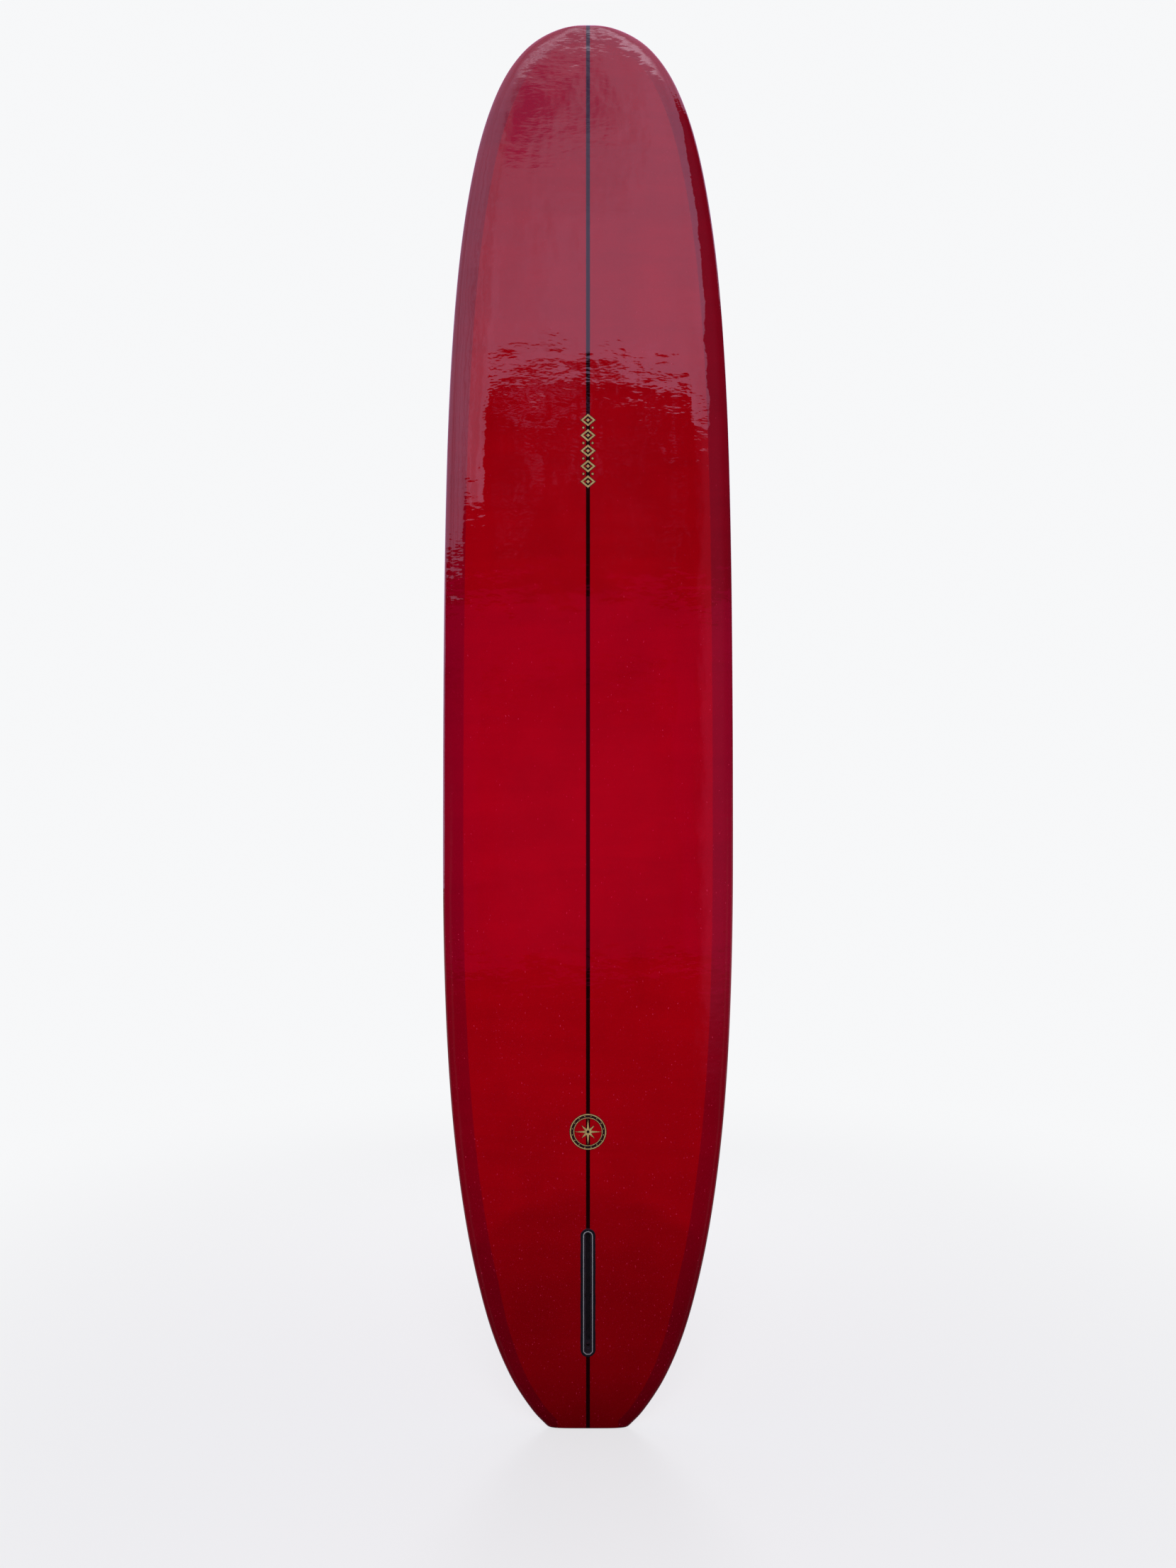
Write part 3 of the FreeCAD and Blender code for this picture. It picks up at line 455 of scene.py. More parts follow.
# ---------------------------------------------------------------- dark outlines of the gold prints
def outline_print(name, shapes, deck_side):
    """Thin prints from pairs of plan loops (outer, inner or None), a little wider than the gold on them."""
    side_, vs, fs = (1.0 if deck_side else -1.0), [], []

    def add(points, up):
        pts = on_skin(np.array([p[0] for p in points]), np.array([p[1] for p in points]), deck_side)
        pts[:, 1] += side_ * up * MM
        i = len(vs)
        vs.extend(pts.tolist())
        return list(range(i, i + len(points)))

    for outer, inner in shapes:
        n = len(outer)
        ot, ob_ = add(outer, 0.085), add(outer, -0.05)
        for i in range(n):
            j = (i + 1) % n
            fs.append([ot[i], ot[j], ob_[j], ob_[i]])
        if inner is None:
            fs.append(ot), fs.append(ob_[::-1])
            continue
        it, ib = add(inner, 0.085), add(inner, -0.05)
        for i in range(n):
            j = (i + 1) % n
            fs.append([it[j], it[i], ib[i], ib[j]])
            fs.append([ot[j], ot[i], it[i], it[j]])
            fs.append([ob_[i], ob_[j], ib[j], ib[i]])
    me = bpy.data.meshes.new(name)
    me.from_pydata(vs, [], fs)
    ob = finished(name, me, False)
    return ob


def lozenge(cx, cz, a, b):
    """Straight sided lozenge as a loop of 16 points."""
    c = [(cx, cz - b), (cx + a, cz), (cx, cz + b), (cx - a, cz)]
    return [(c[i][0] + (c[(i + 1) % 4][0] - c[i][0]) * k / 4, c[i][1] + (c[(i + 1) % 4][1] - c[i][1]) * k / 4) for i in range(4) for k in range(4)]


def band_shapes(station):
    long_, wide, n = 163.0, 15.5, 5
    pitch, grow = long_ / n, 1.15
    shapes = []
    for i in range(n):
        z = station - long_ / 2 + pitch * (i + 0.5)
        tall, k = pitch * 0.40, 0.66
        e = grow * math.hypot(wide, tall) / (wide * tall)
        shapes.append((lozenge(0, z, wide * (1 + e), tall * (1 + e)), lozenge(0, z, wide * (k - e), tall * (k - e))))
        shapes.append((lozenge(0, z, 3.9 + 1.3, 3.9 + 1.3), None))
        if i < n - 1:
            for sx in (-1, 1):
                shapes.append((lozenge(sx * wide * 0.62, z + pitch / 2, 2.6 + 1.3, 2.6 + 1.3), None))
    return shapes


def circle(cz, r, n=72):
    return [(r * math.sin(2 * math.pi * i / n), cz + r * math.cos(2 * math.pi * i / n)) for i in range(n)]


def star_loop(cz, r, grow):
    pts = []
    for i in range(16):
        rr = (r * 0.72 if i % 4 == 0 else r * 0.50) if i % 2 == 0 else r * 0.17
        rr += grow * (2.6 if i % 2 == 0 else 1.15)
        t = math.pi * i / 8
        pts.append((rr * math.sin(t), cz + rr * math.cos(t)))
    return pts


edge_bottom = outline_print("bottom_band_outline", band_shapes(2089.0), False)
edge_deck = outline_print("deck_band_outline", band_shapes(2058.0), True)
edge_star = outline_print("star_outline", [(circle(661.0, 39.1), circle(661.0, 28.2)), (star_loop(661.0, 38.0, 1.0), None)], False)


# ---------------------------------------------------------------- materials
class Mat:
    """A little shorthand for node trees."""

    def __init__(self, name, tree=None):
        if tree is None:
            self.m = bpy.data.materials.new(name)
            self.m.use_nodes = True
            self.t = self.m.node_tree
            self.t.nodes.clear()
            self.out = self.t.nodes.new("ShaderNodeOutputMaterial")
            self.bsdf = self.t.nodes.new("ShaderNodeBsdfPrincipled")
            self.t.links.new(self.bsdf.outputs[0], self.out.inputs[0])
        else:
            self.t = tree
        self._pos = None

    def node(self, kind, **settings):
        n = self.t.nodes.new(kind)
        for k, v in settings.items():
            setattr(n, k, v)
        return n

    def put(self, value, socket):
        if isinstance(value, bpy.types.NodeSocket):
            self.t.links.new(value, socket)
        else:
            socket.default_value = value

    def pos(self):
        if self._pos is None:
            self._pos = self.node("ShaderNodeTexCoord").outputs["Object"]
        return self._pos

    def xyz(self):
        n = self.node("ShaderNodeSeparateXYZ")
        self.put(self.pos(), n.inputs[0])
        return n.outputs

    def scaled(self, sx, sy, sz, offset=(0, 0, 0)):
        n = self.node("ShaderNodeMapping")
        self.put(self.pos(), n.inputs["Vector"])
        n.inputs["Scale"].default_value = (sx, sy, sz)
        n.inputs["Location"].default_value = offset
        return n.outputs[0]

    def noise(self, vector, scale=1.0, detail=3.0, rough=0.55, distortion=0.0):
        n = self.node("ShaderNodeTexNoise")
        self.put(vector, n.inputs["Vector"])
        n.inputs["Scale"].default_value = scale
        n.inputs["Detail"].default_value = detail
        n.inputs["Roughness"].default_value = rough
        n.inputs["Distortion"].default_value = distortion
        return n.outputs[0]

    def math(self, op, a, b=None, c=None, clamp=False):
        n = self.node("ShaderNodeMath", operation=op, use_clamp=clamp)
        self.put(a, n.inputs[0])
        if b is not None:
            self.put(b, n.inputs[1])
        if c is not None:
            self.put(c, n.inputs[2])
        return n.outputs[0]

    def ramp(self, value, lo, hi, to_lo=0.0, to_hi=1.0, smooth=True):
        n = self.node("ShaderNodeMapRange", interpolation_type="SMOOTHSTEP" if smooth else "LINEAR")
        n.clamp = True
        self.put(value, n.inputs["Value"])
        n.inputs["From Min"].default_value = lo
        n.inputs["From Max"].default_value = hi
        n.inputs["To Min"].default_value = to_lo
        n.inputs["To Max"].default_value = to_hi
        return n.outputs["Result"]

    def mix(self, fac, a, b, mode="MIX"):
        n = self.node("ShaderNodeMix", data_type="RGBA", blend_type=mode)
        self.put(fac, n.inputs[0])
        for v, s in ((a, n.inputs[6]), (b, n.inputs[7])):
            if isinstance(v, tuple):
                v = tuple(v) + (1.0,) * (4 - len(v))
            self.put(v, s)
        return n.outputs[2]

    def bump(self, heightv, strength, distance, normal=None):
        n = self.node("ShaderNodeBump")
        n.inputs["Strength"].default_value = strength
        n.inputs["Distance"].default_value = distance
        self.put(heightv, n.inputs["Height"])
        if normal is not None:
            self.put(normal, n.inputs["Normal"])
        return n.outputs[0]

    def set(self, **values):
        names = {
            "color": "Base Color", "rough": "Roughness", "metal": "Metallic", "spec": "Specular IOR Level",
            "coat": "Coat Weight", "coat_rough": "Coat Roughness", "coat_ior": "Coat IOR", "normal": "Normal",
            "coat_normal": "Coat Normal", "ior": "IOR", "sheen": "Sheen Weight", "aniso": "Anisotropic",
            "emit": "Emission Color", "emit_strength": "Emission Strength",
        }
        for k, v in values.items():
            if isinstance(v, tuple):
                v = tuple(v) + (1.0,) * (4 - len(v))
            self.put(v, self.bsdf.inputs[names[k]])
        return self


def coat_waves(m):
    """Height of the slow unevenness left in a hand sanded and polished resin coat."""
    long_wave = m.noise(m.scaled(9.0, 9.0, 4.0), 1.0, 3.0, 0.5)
    streaks = m.noise(m.scaled(14.0, 14.0, 30.0, (3.1, 0, 7.7)), 1.0, 3.0, 0.6)
    fine = m.noise(m.scaled(38.0, 38.0, 60.0, (1.3, 5.0, 2.0)), 1.0, 2.0, 0.5)
    a = m.math("MULTIPLY", long_wave, 1.0)
    b = m.math("MULTIPLY_ADD", streaks, 0.20, a)
    return m.math("MULTIPLY_ADD", fine, 0.022, b)


def red_glass(name, lapped):
    """Pigmented resin over glass cloth under a clear polished coat. lapped: 0, 1 or None for the mesh's own lap distance."""
    m = Mat(name)
    x, y, z = m.xyz()
    field_colour = (0.40, 0.0003, 0.0050)
    lap_colour = (0.270, 0.0003, 0.0085)
    if lapped is None:
        at = m.node("ShaderNodeAttribute", attribute_name="lap")
        wobble = m.noise(m.scaled(45, 45, 45), 1.0, 2.0)
        d = m.math("MULTIPLY_ADD", wobble, 3.0, m.math("SUBTRACT", at.outputs["Fac"], 1.5))
        # Painted reflection: towards the nose tip the lap band fades to a quarter of its darkness, standing in for the
        # sky reflection that washes it out there.
        lap = m.math("MULTIPLY", m.ramp(d, -2.0, 2.4), m.ramp(z, 2.80, 2.97, 1.0, 0.25))
    else:
        lap = float(lapped)
    base = m.mix(lap, field_colour, lap_colour)
    # Pigment density: cloudy, with long faint pulls of the squeegee.
    cloud = m.noise(m.scaled(6.5, 6.5, 4.0, (0.7, 0, 0.4)), 1.0, 4.0, 0.6)
    pull = m.noise(m.scaled(3.0, 3.0, 22.0, (9, 1, 0)), 1.0, 4.0, 0.65, 0.4)
    dens = m.math("ADD", m.ramp(cloud, 0.25, 0.75, -0.10, 0.10, False), m.ramp(pull, 0.25, 0.75, -0.07, 0.07, False))
    # Cloth: two crossing sets of threads, 1.9 mm apart, seen faintly.
    warp = m.math("SINE", m.math("MULTIPLY", x, 2 * math.pi / 0.0019))
    weft = m.math("SINE", m.math("MULTIPLY", z, 2 * math.pi / 0.0019))
    weave = m.math("MULTIPLY", m.math("MULTIPLY", warp, weft), 0.045)
    grain = m.ramp(m.noise(m.scaled(420, 420, 420), 1.0, 2.0), 0.3, 0.7, -0.05, 0.05, False)
    value = m.math("ADD", m.math("ADD", dens, weave), m.math("ADD", grain, 1.0))
    # Painted shade: the faces turned towards -Y are darkened towards the tail, from a soft arc across it, where the
    # light falls off near the floor.
    tail = m.node("ShaderNodeValToRGB")
    stops = ((0.0, 0.40), (0.02, 0.47), (0.083, 0.64), (0.175, 0.76), (0.33, 0.76), (0.47, 0.83), (0.515, 0.84), (0.55, 1.0))
    while len(tail.color_ramp.elements) < len(stops):
        tail.color_ramp.elements.new(0.5)
    for el, (at_, v_) in zip(tail.color_ramp.elements, stops):
        el.position = at_ / 0.6
    for el, (at_, v_) in zip(tail.color_ramp.elements, stops):
        el.color = (v_, v_, v_, 1)
    m.put(m.math("DIVIDE", m.math("MULTIPLY_ADD", m.math("MULTIPLY", x, x), 2.0, z), 0.6), tail.inputs[0])
    below = m.node("ShaderNodeSeparateXYZ")
    m.put(m.node("ShaderNodeNewGeometry").outputs["Normal"], below.inputs[0])
    painted_tail_shade = m.math("MULTIPLY_ADD", m.ramp(below.outputs[1], -0.35, 0.15, 1.0, 0.0), m.math("SUBTRACT", tail.outputs[0], 1.0), 1.0)
    value = m.math("MULTIPLY", value, painted_tail_shade)
    hsv = m.node("ShaderNodeHueSaturation")
    m.put(base, hsv.inputs["Color"])
    m.put(value, hsv.inputs["Value"])
    colour = hsv.outputs[0]
    # Small bright flecks painted in as highlights, the glints of tiny pits in the coat, more of them towards the tail.
    for size, lo, hi, few, many, strength, highlight_tint in ((150, 0.05, 0.18, 0.84, 0.42, 1.0, (0.72, 0.030, 0.090)), (380, 0.12, 0.30, 0.88, 0.52, 0.50, (0.58, 0.014, 0.060))):
        vor = m.node("ShaderNodeTexVoronoi", feature="F1")
        bend = m.node("ShaderNodeTexNoise")
        bend.inputs["Scale"].default_value = 1.0
        bend.inputs["Detail"].default_value = 2.0
        m.put(m.scaled(size * 1.7, size * 1.7, size * 1.7), bend.inputs["Vector"])
        shift = m.node("ShaderNodeVectorMath", operation="MULTIPLY_ADD")
        m.put(bend.outputs["Color"], shift.inputs[0])
        shift.inputs[1].default_value = (0.55, 0.55, 0.55)
        m.put(m.scaled(size, size, size * 0.62, (0.3, 0.1, size * 0.01)), shift.inputs[2])
        m.put(shift.outputs[0], vor.inputs["Vector"])
        vor.inputs["Scale"].default_value = 1.0
        spot = m.ramp(vor.outputs["Distance"], lo, hi, 1.0, 0.0)
        sep = m.node("ShaderNodeSeparateColor")
        m.put(vor.outputs["Color"], sep.inputs[0])
        crowd = m.math("MULTIPLY_ADD", m.ramp(m.noise(m.scaled(9, 9, 9, (2, 2, 2)), 1.0, 3.0), 0.35, 0.65, 0.10, -0.12, False), 1.0, m.ramp(z, 0.15, 1.3, many, few))
        some = m.math("GREATER_THAN", sep.outputs[0], crowd)
        weight = m.math("MULTIPLY_ADD", sep.outputs[1], 0.6, 0.4)
        painted_fleck_highlight = m.math("MULTIPLY", m.math("MULTIPLY", m.math("MULTIPLY", spot, some), weight), strength)
        painted_fleck_highlight = m.math("MULTIPLY", painted_fleck_highlight, m.ramp(z, 1.2, 2.6, 1.0, 0.35))
        colour = m.mix(painted_fleck_highlight, colour, highlight_tint)
    # The stringer shows through as a near black line.
    ax = m.math("ABSOLUTE", x)
    edge = m.math("MULTIPLY_ADD", m.noise(m.scaled(120, 120, 40), 1.0, 2.0), 0.0003, ax)
    line = m.ramp(edge, 0.0041, 0.0046, 1.0, 0.0)
    wood = m.ramp(m.noise(m.scaled(500, 500, 14), 1.0, 3.0), 0.3, 0.7, 0.0, 1.0, False)
    wood_colour = m.mix(wood, (0.006, 0.0006, 0.0008), (0.014, 0.0010, 0.0014))
    colour = m.mix(line, colour, wood_colour)
    m.set(color=colour, rough=0.52, spec=0.0, coat=1.0, coat_rough=0.035, coat_ior=1.5)
    m.put(m.bump(coat_waves(m), 1.0, 0.0030), m.bsdf.inputs["Coat Normal"])
    return m.m


bottom_glass.data.materials.append(red_glass("red_resin_single", 0))
deck_glass.data.materials.append(red_glass("red_resin_lapped", None))


def assign(name, material):
    o = nodes[name]
    o.data.materials.clear()
    o.data.materials.append(material)


def dark_wood():
    m = Mat("stringer_wood")
    grain = m.noise(m.scaled(260, 260, 9), 1.0, 5.0, 0.6, 0.6)
    m.set(color=m.mix(grain, (0.018, 0.010, 0.007), (0.07, 0.04, 0.026)), rough=0.7)
    m.put(m.bump(grain, 0.4, 0.0004), m.bsdf.inputs["Normal"])
    return m.m


def foam():
    m = Mat("foam")
    cells = m.noise(m.scaled(900, 900, 900), 1.0, 3.0)
    m.set(color=m.mix(cells, (0.80, 0.78, 0.70), (0.90, 0.88, 0.82)), rough=0.9)
    m.put(m.bump(cells, 0.5, 0.0003), m.bsdf.inputs["Normal"])
    return m.m


def box_plastic():
    """Black moulded plastic with a rim sanded grey and matt when the board was finished."""
    m = Mat("box_plastic")
    x, y, z = m.xyz()
    ax = m.math("ABSOLUTE", x)
    # distance in from the box outline, along the axis of the box
    zl = m.math("ADD", m.math("MULTIPLY", m.math("SUBTRACT", y, BOX_Y * MM), -math.sin(BOX_A)),
                m.math("MULTIPLY", m.math("SUBTRACT", z, BOX_C * MM), math.cos(BOX_A)))
    yl = m.math("ADD", m.math("MULTIPLY", m.math("SUBTRACT", y, BOX_Y * MM), math.cos(BOX_A)),
                m.math("MULTIPLY", m.math("SUBTRACT", z, BOX_C * MM), math.sin(BOX_A)))
    side = m.math("SUBTRACT", 0.0105, ax)
    over = m.math("MAXIMUM", m.math("SUBTRACT", zl, (138.0 - 10.5) * MM), 0.0)
    radial = m.math("SUBTRACT", 0.0105, m.math("SQRT", m.math("ADD", m.math("MULTIPLY", ax, ax), m.math("MULTIPLY", over, over))))
    low = m.math("ADD", zl, 138.0 * MM)
    cham = m.math("DIVIDE", m.math("SUBTRACT", m.math("ADD", side, low), 6.15 * MM), 1.41421)
    d = m.math("MINIMUM", m.math("MINIMUM", side, radial), m.math("MINIMUM", low, cham))
    rim = m.ramp(m.math("MULTIPLY_ADD", m.noise(m.scaled(300, 300, 120), 1.0, 2.0), 0.0005, d), 0.0020, 0.0025, 1.0, 0.0)
    face = m.ramp(yl, 0.0030, 0.0040, 1.0, 0.0)
    rim = m.math("MULTIPLY", rim, face)
    scuff = m.noise(m.scaled(900, 900, 260), 1.0, 4.0, 0.7)
    grey = m.mix(scuff, (0.15, 0.155, 0.165), (0.46, 0.47, 0.50))
    black = m.mix(m.noise(m.scaled(250, 250, 90), 1.0, 3.0), (0.006, 0.006, 0.008), (0.022, 0.020, 0.025))
    m.set(color=m.mix(rim, black, grey), rough=m.ramp(rim, 0, 1, 0.36, 0.55, False), spec=0.5)
    bev = m.node("ShaderNodeBevel", samples=6)
    bev.inputs["Radius"].default_value = 0.00035
    m.put(m.bump(scuff, 0.25, 0.00008, bev.outputs[0]), m.bsdf.inputs["Normal"])
    return m.m


def black_resin():
    m = Mat("black_resin")
    smoke = m.noise(m.scaled(90, 90, 30), 1.0, 3.0)
    m.set(color=m.mix(smoke, (0.004, 0.004, 0.006), (0.014, 0.013, 0.018)), rough=0.30, spec=0.12, coat=0.7, coat_rough=0.05)
    m.put(m.bump(m.noise(m.scaled(140, 140, 50), 1.0, 2.0), 0.5, 0.0005), m.bsdf.inputs["Coat Normal"])
    return m.m


def steel():
    m = Mat("tube_metal")
    brushed = m.noise(m.scaled(700, 2600, 700), 1.0, 3.0)
    x, y, z = m.xyz()
    # Painted light inside the bore: dark painted shade, with the side towards the nose painted brighter as if lit from
    # above.
    out = m.math("SUBTRACT", z, LEASH_S * MM)
    radius = m.math("SQRT", m.math("ADD", m.math("MULTIPLY", x, x), m.math("MULTIPLY", out, out)))
    inside = m.ramp(radius, 0.00300, 0.00310, 1.0, 0.0)
    bore_painted_light = m.mix(m.ramp(out, 0.0008, 0.0016), (0.035, 0.033, 0.035), (0.30, 0.295, 0.30))
    c = m.mix(inside, m.mix(brushed, (0.55, 0.54, 0.53), (0.82, 0.82, 0.83)), bore_painted_light)
    m.set(color=c, metal=1.0, rough=m.ramp(brushed, 0.2, 0.8, 0.16, 0.30, False))
    m.put(m.bump(brushed, 0.3, 0.00004), m.bsdf.inputs["Normal"])
    return m.m


def gold_print():
    m = Mat("gold_print")
    streak = m.noise(m.scaled(320, 320, 120), 1.0, 4.0, 0.6, 0.5)
    fine = m.noise(m.scaled(1400, 1400, 1400), 1.0, 2.0)
    c = m.mix(m.ramp(streak, 0.3, 0.7), (0.36, 0.24, 0.075), (0.60, 0.45, 0.19))
    c = m.mix(m.ramp(fine, 0.45, 0.75, 0.0, 0.35), c, (0.66, 0.56, 0.32))
    m.set(color=c, rough=0.42, spec=0.3, coat=1.0, coat_rough=0.04)
    m.put(m.bump(fine, 0.3, 0.00005), m.bsdf.inputs["Normal"])
    return m.m


wood_m, foam_m, box_m, resin_m, steel_m, gold_m = dark_wood(), foam(), box_plastic(), black_resin(), steel(), gold_print()
assign("stringer", wood_m)
assign("foam_core_right", foam_m)
assign("foam_core_left", foam_m)
assign("fin_box", box_m)
assign("fin_box_resin_bed", resin_m)
assign("leash_hole_bead", resin_m)
for ob in (fin_bead, leash_ring):
    ob.data.materials.append(resin_m)


def black_print():
    m = Mat("black_print")
    ink = m.noise(m.scaled(700, 700, 700), 1.0, 3.0)
    m.set(color=m.mix(ink, (0.006, 0.004, 0.005), (0.020, 0.010, 0.011)), rough=0.45, spec=0.2, coat=1.0, coat_rough=0.05)
    return m.m


print_m = black_print()
for ob in (edge_bottom, edge_deck, edge_star):
    ob.data.materials.append(print_m)
assign("leash_tube", steel_m)
for name in ("bottom_band_print", "deck_band_print", "bottom_star_print"):
    assign(name, gold_m)

# ---------------------------------------------------------------- stage, light and camera
PALE = (0.93, 0.935, 0.945)

floor_me = bpy.data.meshes.new("floor")
ringv = [(30 * math.cos(2 * math.pi * i / 64), 30 * math.sin(2 * math.pi * i / 64), -0.0006) for i in range(64)]
floor_me.from_pydata(ringv, [], [list(range(64))])
floor = bpy.data.objects.new("floor", floor_me)
scene.collection.objects.link(floor)
floor.visible_glossy = False
floor.visible_diffuse = False
fm = Mat("floor_paper")
fx_, fy_, fz_ = fm.xyz()
r = fm.math("SQRT", fm.math("ADD", fm.math("MULTIPLY", fx_, fx_), fm.math("MULTIPLY", fy_, fy_)))
fm.set(color=(0.84, 0.845, 0.855), rough=0.9, spec=0.1)
glow = fm.node("ShaderNodeEmission")
glow.inputs["Color"].default_value = PALE + (1.0,)
mixs = fm.node("ShaderNodeMixShader")
fm.put(fm.ramp(r, 0.1, 3.0, 0.72, 1.0), mixs.inputs[0])
fm.t.links.new(fm.bsdf.outputs[0], mixs.inputs[1])
fm.t.links.new(glow.outputs[0], mixs.inputs[2])
fm.t.links.new(mixs.outputs[0], fm.out.inputs[0])
floor_me.materials.append(fm.m)

world = bpy.data.worlds.new("studio")
scene.world = world
world.use_nodes = True
wt = world.node_tree
wt.nodes.clear()
w = Mat("world", wt)
wout = w.node("ShaderNodeOutputWorld")
direction = w.node("ShaderNodeTexCoord").outputs["Generated"]
sep = w.node("ShaderNodeSeparateXYZ")
w.put(direction, sep.inputs[0])
dxx, dyy, dzz = sep.outputs
front = w.math("ABSOLUTE", dyy)
az = w.math("ARCTAN2", dxx, front)          # 0 straight in front or behind, positive to +X
deg = math.radians


def w_noise(vec, scale, detail=4.0, rough=0.55):
    n = w.node("ShaderNodeTexNoise")
    w.put(vec, n.inputs["Vector"])
    n.inputs["Scale"].default_value = scale
    n.inputs["Detail"].default_value = detail
    n.inputs["Roughness"].default_value = rough
    return n.outputs[0]


def w_vec(a, b, c):
    v = w.node("ShaderNodeCombineXYZ")
    for value, socket in zip((a, b, c), v.inputs):
        w.put(value, socket)
    return v.outputs[0]


behind = w.ramp(dyy, -0.02, 0.10)
# Sky above a ragged edge, lower towards the left, higher past the right hand side.
brush = w_noise(w_vec(w.math("MULTIPLY", az, 2.2), behind, w.math("MULTIPLY", dzz, 9.0)), 2.2, 6.0, 0.62)
rag = w.math("MULTIPLY_ADD", brush, 0.105, -0.0525)
edge = w.math("ADD", w.ramp(az, deg(-17.0), deg(-14.4), -0.133, 0.0), w.ramp(az, deg(-34), deg(-29), -0.07, 0.0))
edge = w.math("ADD", edge, w.math("ADD", w.ramp(az, deg(14.0), deg(16.5), 0.0, -0.050), w.ramp(az, deg(27), deg(32), 0.0, 0.42)))
edge = w.math("ADD", edge, w.math("MULTIPLY_ADD", behind, -0.308, 0.430))
edge = w.math("ADD", edge, w.ramp(w.math("ABSOLUTE", az), deg(0.5), deg(13.0), 0.016, -0.012, False))
sky = w.ramp(w.math("ADD", w.math("SUBTRACT", dzz, edge), rag), -0.008, 0.009)
tone = w.ramp(w_noise(direction, 3.2), 0.34, 0.60, 0.80, 1.10)
tone = w.math("MULTIPLY", tone, w.ramp(w.math("ABSOLUTE", az), deg(11), deg(20), 1.0, 0.86))
rails = w_noise(w_vec(w.math("MULTIPLY", az, 26.0), 0.0, w.math("MULTIPLY", dzz, 1.6)), 1.0, 3.0)
tone = w.math("MULTIPLY", tone, w.math("SUBTRACT", 1.0, w.math("MULTIPLY", w.ramp(az, deg(-20), deg(-13), 1.0, 0.0), w.ramp(rails, 0.45, 0.62, 0.0, 0.30))))
ca = w.math("DIVIDE", w.math("ADD", az, deg(8.2)), deg(7.6))
cz = w.math("DIVIDE", w.math("SUBTRACT", dzz, 0.722), 0.044)
cloud = w.math("SQRT", w.math("ADD", w.math("MULTIPLY", ca, ca), w.math("MULTIPLY", cz, cz)))
cloud = w.math("MULTIPLY_ADD", w_noise(direction, 7.0, 5.0, 0.6), 1.6, cloud)
gloom = w.ramp(cloud, 1.20, 2.25, 1.0, 0.0)
streak = w.ramp(w_noise(w_vec(w.math("MULTIPLY", az, 1.2), 3.0, w.math("MULTIPLY", dzz, 46.0)), 1.0, 3.0), 0.36, 0.64, 0.25, 1.1)
overhead = w.math("MULTIPLY", w.ramp(dzz, 0.786, 0.800), w.ramp(dzz, 0.82, 0.86, 1.0, 0.0))
overhead = w.math("MULTIPLY", overhead, w.math("MULTIPLY", w.ramp(w.math("ABSOLUTE", az), deg(14), deg(30), 1.0, 0.0), w.math("SUBTRACT", 1.0, behind)))
glint = w.math("MULTIPLY", overhead, streak)
sky_colour = w.mix(w.math("MULTIPLY", sky, tone), (0.004, 0.001, 0.003), w.mix(gloom, (1.58, 1.28, 2.02), (0.62, 0.30, 0.95)))
sky_colour = w.mix(1.0, sky_colour, w.mix(glint, (0, 0, 0), (3.2, 2.9, 3.4)), "ADD")
# Faint level smears in the dark part below it.
smear = w.ramp(w_noise(w_vec(w.math("MULTIPLY", az, 7.0), 11.0, w.math("MULTIPLY", dzz, 62.0)), 1.0, 4.0, 0.6), 0.545, 0.63, 0.0, 1.0)
smear = w.math("MULTIPLY", smear, w.math("MULTIPLY", w.ramp(dzz, 0.215, 0.24), w.ramp(w.math("ABSOLUTE", az), deg(10.5), deg(12.5), 1.0, 0.0)))
smear = w.math("MULTIPLY", smear, w.math("MULTIPLY", w.ramp(dzz, 0.28, 0.42, 0.30, 0.85), w.ramp(dzz, 0.44, 0.46, 1.0, 0.0)))
smear = w.math("MULTIPLY", smear, w.math("SUBTRACT", 1.0, behind))
sky_colour = w.mix(1.0, sky_colour, w.mix(smear, (0, 0, 0), (0.75, 0.42, 0.85)), "ADD")
# A low wall of level boards with a plain band along its top and a post at each end.
sway = w.math("MULTIPLY", w_noise(w_vec(w.math("MULTIPLY", az, 3.0), 7.0, w.math("MULTIPLY", dzz, 2.5)), 1.3, 3.0), 0.050)
level = w.math("ADD", dzz, sway)
rib = w.math("SINE", w.math("MULTIPLY", level, 2 * math.pi / 0.0075))
rib = w.math("MULTIPLY", w.ramp(rib, 0.10, 0.90, 0.0, 0.72), w.ramp(dzz, 0.080, 0.092, 1.0, 0.25))
seam = w.math("MULTIPLY", w.ramp(level, 0.108, 0.112), w.ramp(level, 0.117, 0.121, 1.0, 0.0))
rib = w.math("MAXIMUM", rib, w.math("MULTIPLY", seam, 0.8))
foot, head = w.ramp(dzz, -0.202, -0.197), w.ramp(level, 0.2095, 0.2110, 1.0, 0.0)
posts = w.math("ADD", w.math("MULTIPLY", w.ramp(az, deg(-29), deg(-28)), w.ramp(az, deg(-18.2), deg(-17.4), 1.0, 0.0)),
               w.math("MULTIPLY", w.ramp(az, deg(9.4), deg(10.2)), w.ramp(az, deg(15.8), deg(16.6), 1.0, 0.0)))
posts = w.math("MAXIMUM", posts, w.ramp(level, 0.1865, 0.1885))
boards = w.math("MULTIPLY", w.math("SUBTRACT", 1.0, posts), w.math("SUBTRACT", 1.0, rib))
wall = w.math("MULTIPLY", w.math("MULTIPLY", foot, head), w.math("MULTIPLY_ADD", posts, 1.85, boards))
wall_colour = w.mix(w.math("MULTIPLY", wall, w.math("SUBTRACT", 1.0, behind)), (0, 0, 0), (0.76, 0.003, 0.125))
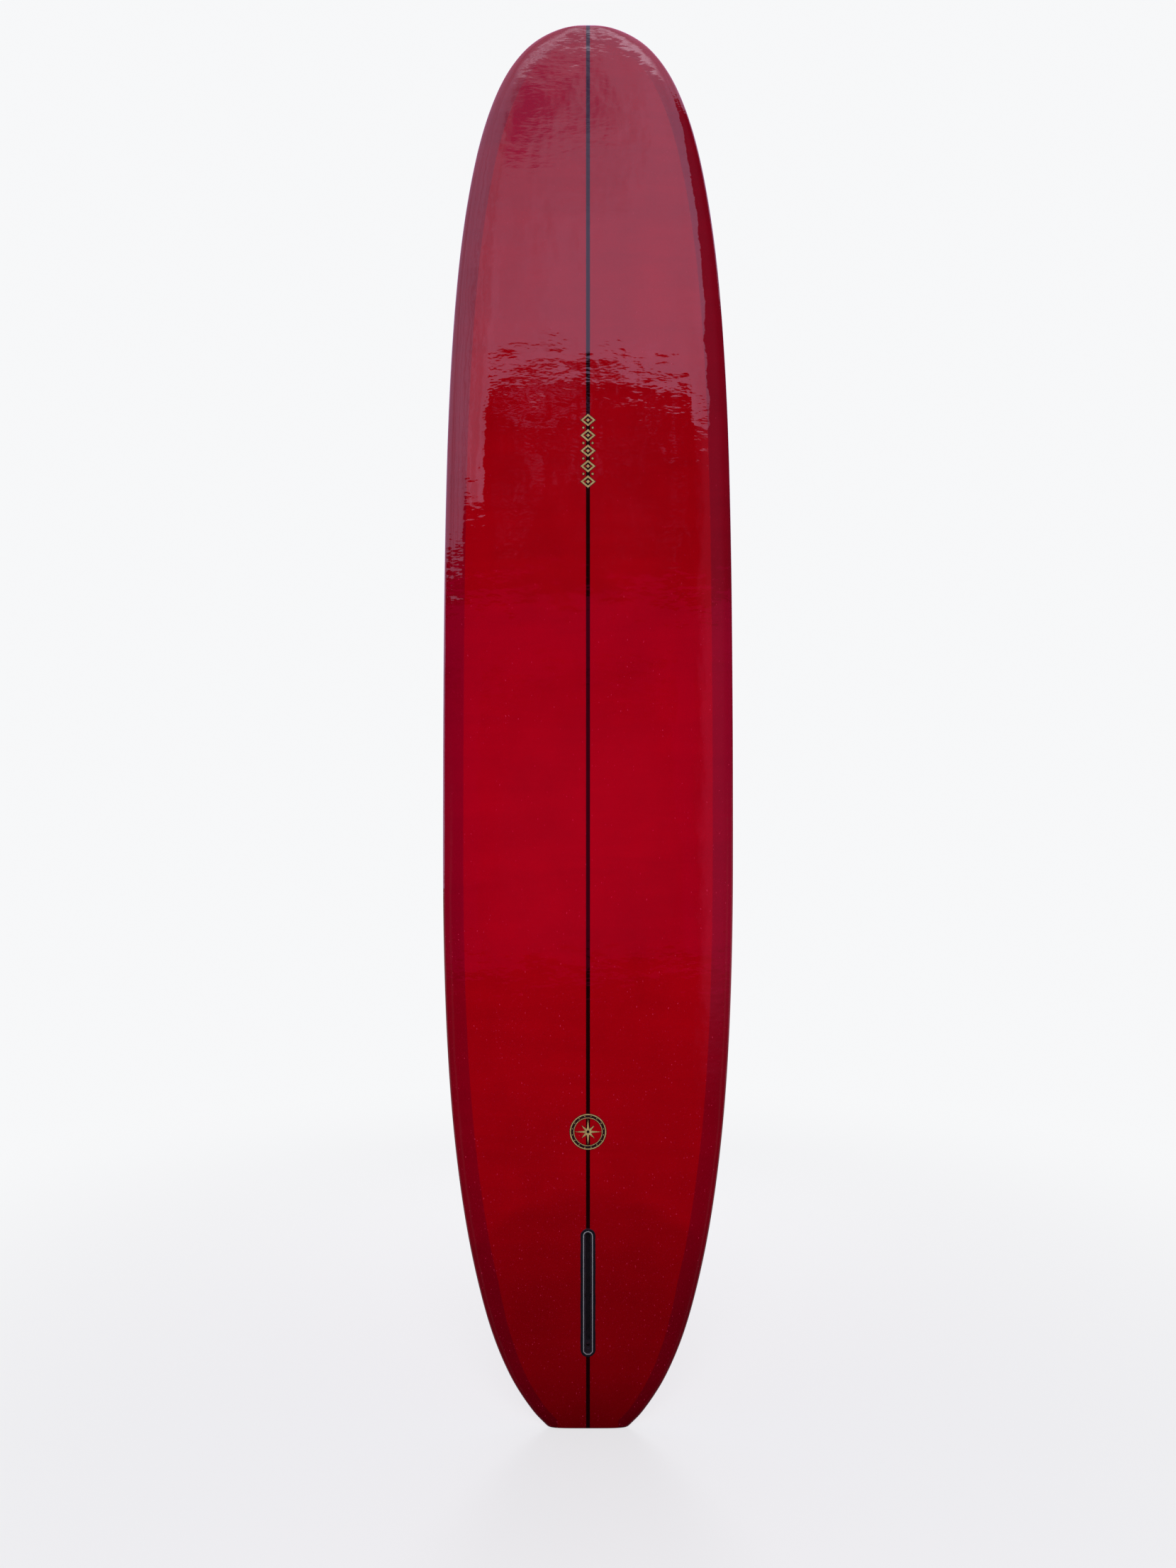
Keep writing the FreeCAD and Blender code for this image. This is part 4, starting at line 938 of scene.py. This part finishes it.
# Dim surroundings to either side, and a soft pale room past them.
side = w.math("MULTIPLY", w.ramp(az, deg(16), deg(24)), w.ramp(dzz, -0.40, -0.20))
side_colour = w.mix(w.math("MULTIPLY", side, w.ramp(az, deg(38), deg(60), 1.0, 0.4)), (0, 0, 0), (0.28, 0.085, 0.17))
near = w.math("MULTIPLY", w.ramp(az, deg(16), deg(24)), w.math("MULTIPLY", w.ramp(dzz, -0.30, -0.20), w.ramp(dzz, 0.10, 0.20, 1.0, 0.0)))
near_colour = w.mix(near, (0, 0, 0), (0.50, 0.006, 0.06))
wide = w.ramp(w.math("ABSOLUTE", az), deg(36), deg(62))
room = w.math("MULTIPLY", w.math("MAXIMUM", w.math("MULTIPLY", wide, 0.07), behind), w.ramp(w.math("ADD", dzz, w.math("MULTIPLY", brush, 0.1)), -0.02, 0.10, 1.0, 0.0))
strip_a = w.math("MULTIPLY", w.ramp(az, deg(-57), deg(-53)), w.ramp(az, deg(-50), deg(-46), 1.0, 0.0))
strip_b = w.math("MULTIPLY", w.ramp(az, deg(53), deg(57)), w.ramp(az, deg(61), deg(66), 1.0, 0.0))
strips = w.math("MULTIPLY", w.math("MAXIMUM", strip_a, strip_b), w.ramp(dzz, -0.95, -0.80))
strips = w.math("MULTIPLY", strips, w.ramp(dzz, -0.10, 0.05, 1.0, 0.0))
room = w.math("MULTIPLY_ADD", strips, w.math("MULTIPLY_ADD", behind, 1.7, 0.2), room)
room_colour = w.mix(room, (0, 0, 0), (0.34, 0.32, 0.36))
refl = w.mix(1.0, w.mix(1.0, sky_colour, w.mix(1.0, side_colour, near_colour, "ADD"), "ADD"), w.mix(1.0, wall_colour, room_colour, "ADD"), "ADD")
lp = w.node("ShaderNodeLightPath")
bg_refl, bg_fill, bg_cam = w.node("ShaderNodeBackground"), w.node("ShaderNodeBackground"), w.node("ShaderNodeBackground")
w.put(refl, bg_refl.inputs[0])
bg_fill.inputs[0].default_value = (0.95, 0.97, 1.0, 1)
bg_fill.inputs[1].default_value = 0.13
bg_cam.inputs[0].default_value = PALE + (1.0,)
m1, m2 = w.node("ShaderNodeMixShader"), w.node("ShaderNodeMixShader")
wt.links.new(lp.outputs["Is Diffuse Ray"], m1.inputs[0])
wt.links.new(bg_refl.outputs[0], m1.inputs[1])
wt.links.new(bg_fill.outputs[0], m1.inputs[2])
wt.links.new(lp.outputs["Is Camera Ray"], m2.inputs[0])
wt.links.new(m1.outputs[0], m2.inputs[1])
wt.links.new(bg_cam.outputs[0], m2.inputs[2])
wt.links.new(m2.outputs[0], wout.inputs[0])


def soft_light(name, place, target, size, power, colour=(1, 1, 1)):
    data = bpy.data.lights.new(name, "AREA")
    data.shape = "DISK"
    data.size = size
    data.energy = power
    data.color = colour
    ob = bpy.data.objects.new(name, data)
    ob.location = place
    ob.rotation_euler = (Vector(target) - Vector(place)).to_track_quat("-Z", "Y").to_euler()
    scene.collection.objects.link(ob)
    ob.visible_camera = False
    ob.visible_glossy = False
    return ob


soft_light("front_low", (0.0, -1.75, 1.15), (0, 0, 1.12), 0.9, 13.5)
soft_light("front_high", (0.0, -2.35, 2.65), (0, 0, 2.35), 1.2, 12.5)
soft_light("back_low", (0.0, 1.95, 1.20), (0, 0, 1.12), 1.1, 17)
soft_light("back_high", (0.0, 2.35, 2.45), (0, 0, 2.25), 1.2, 14)
soft_light("top_panel", (0.0, 0.0, 5.2), (0, 0, 0), 2.5, 25)

cam_data = bpy.data.cameras.new("camera")
cam_data.lens = 27.56
cam_data.sensor_width = 36.0
cam = bpy.data.objects.new("camera", cam_data)
cam.location = (0.0, -2.600, 1.3915)
cam.rotation_euler = (math.radians(90), 0, 0)
scene.collection.objects.link(cam)
scene.camera = cam
scene.view_settings.view_transform = "Standard"
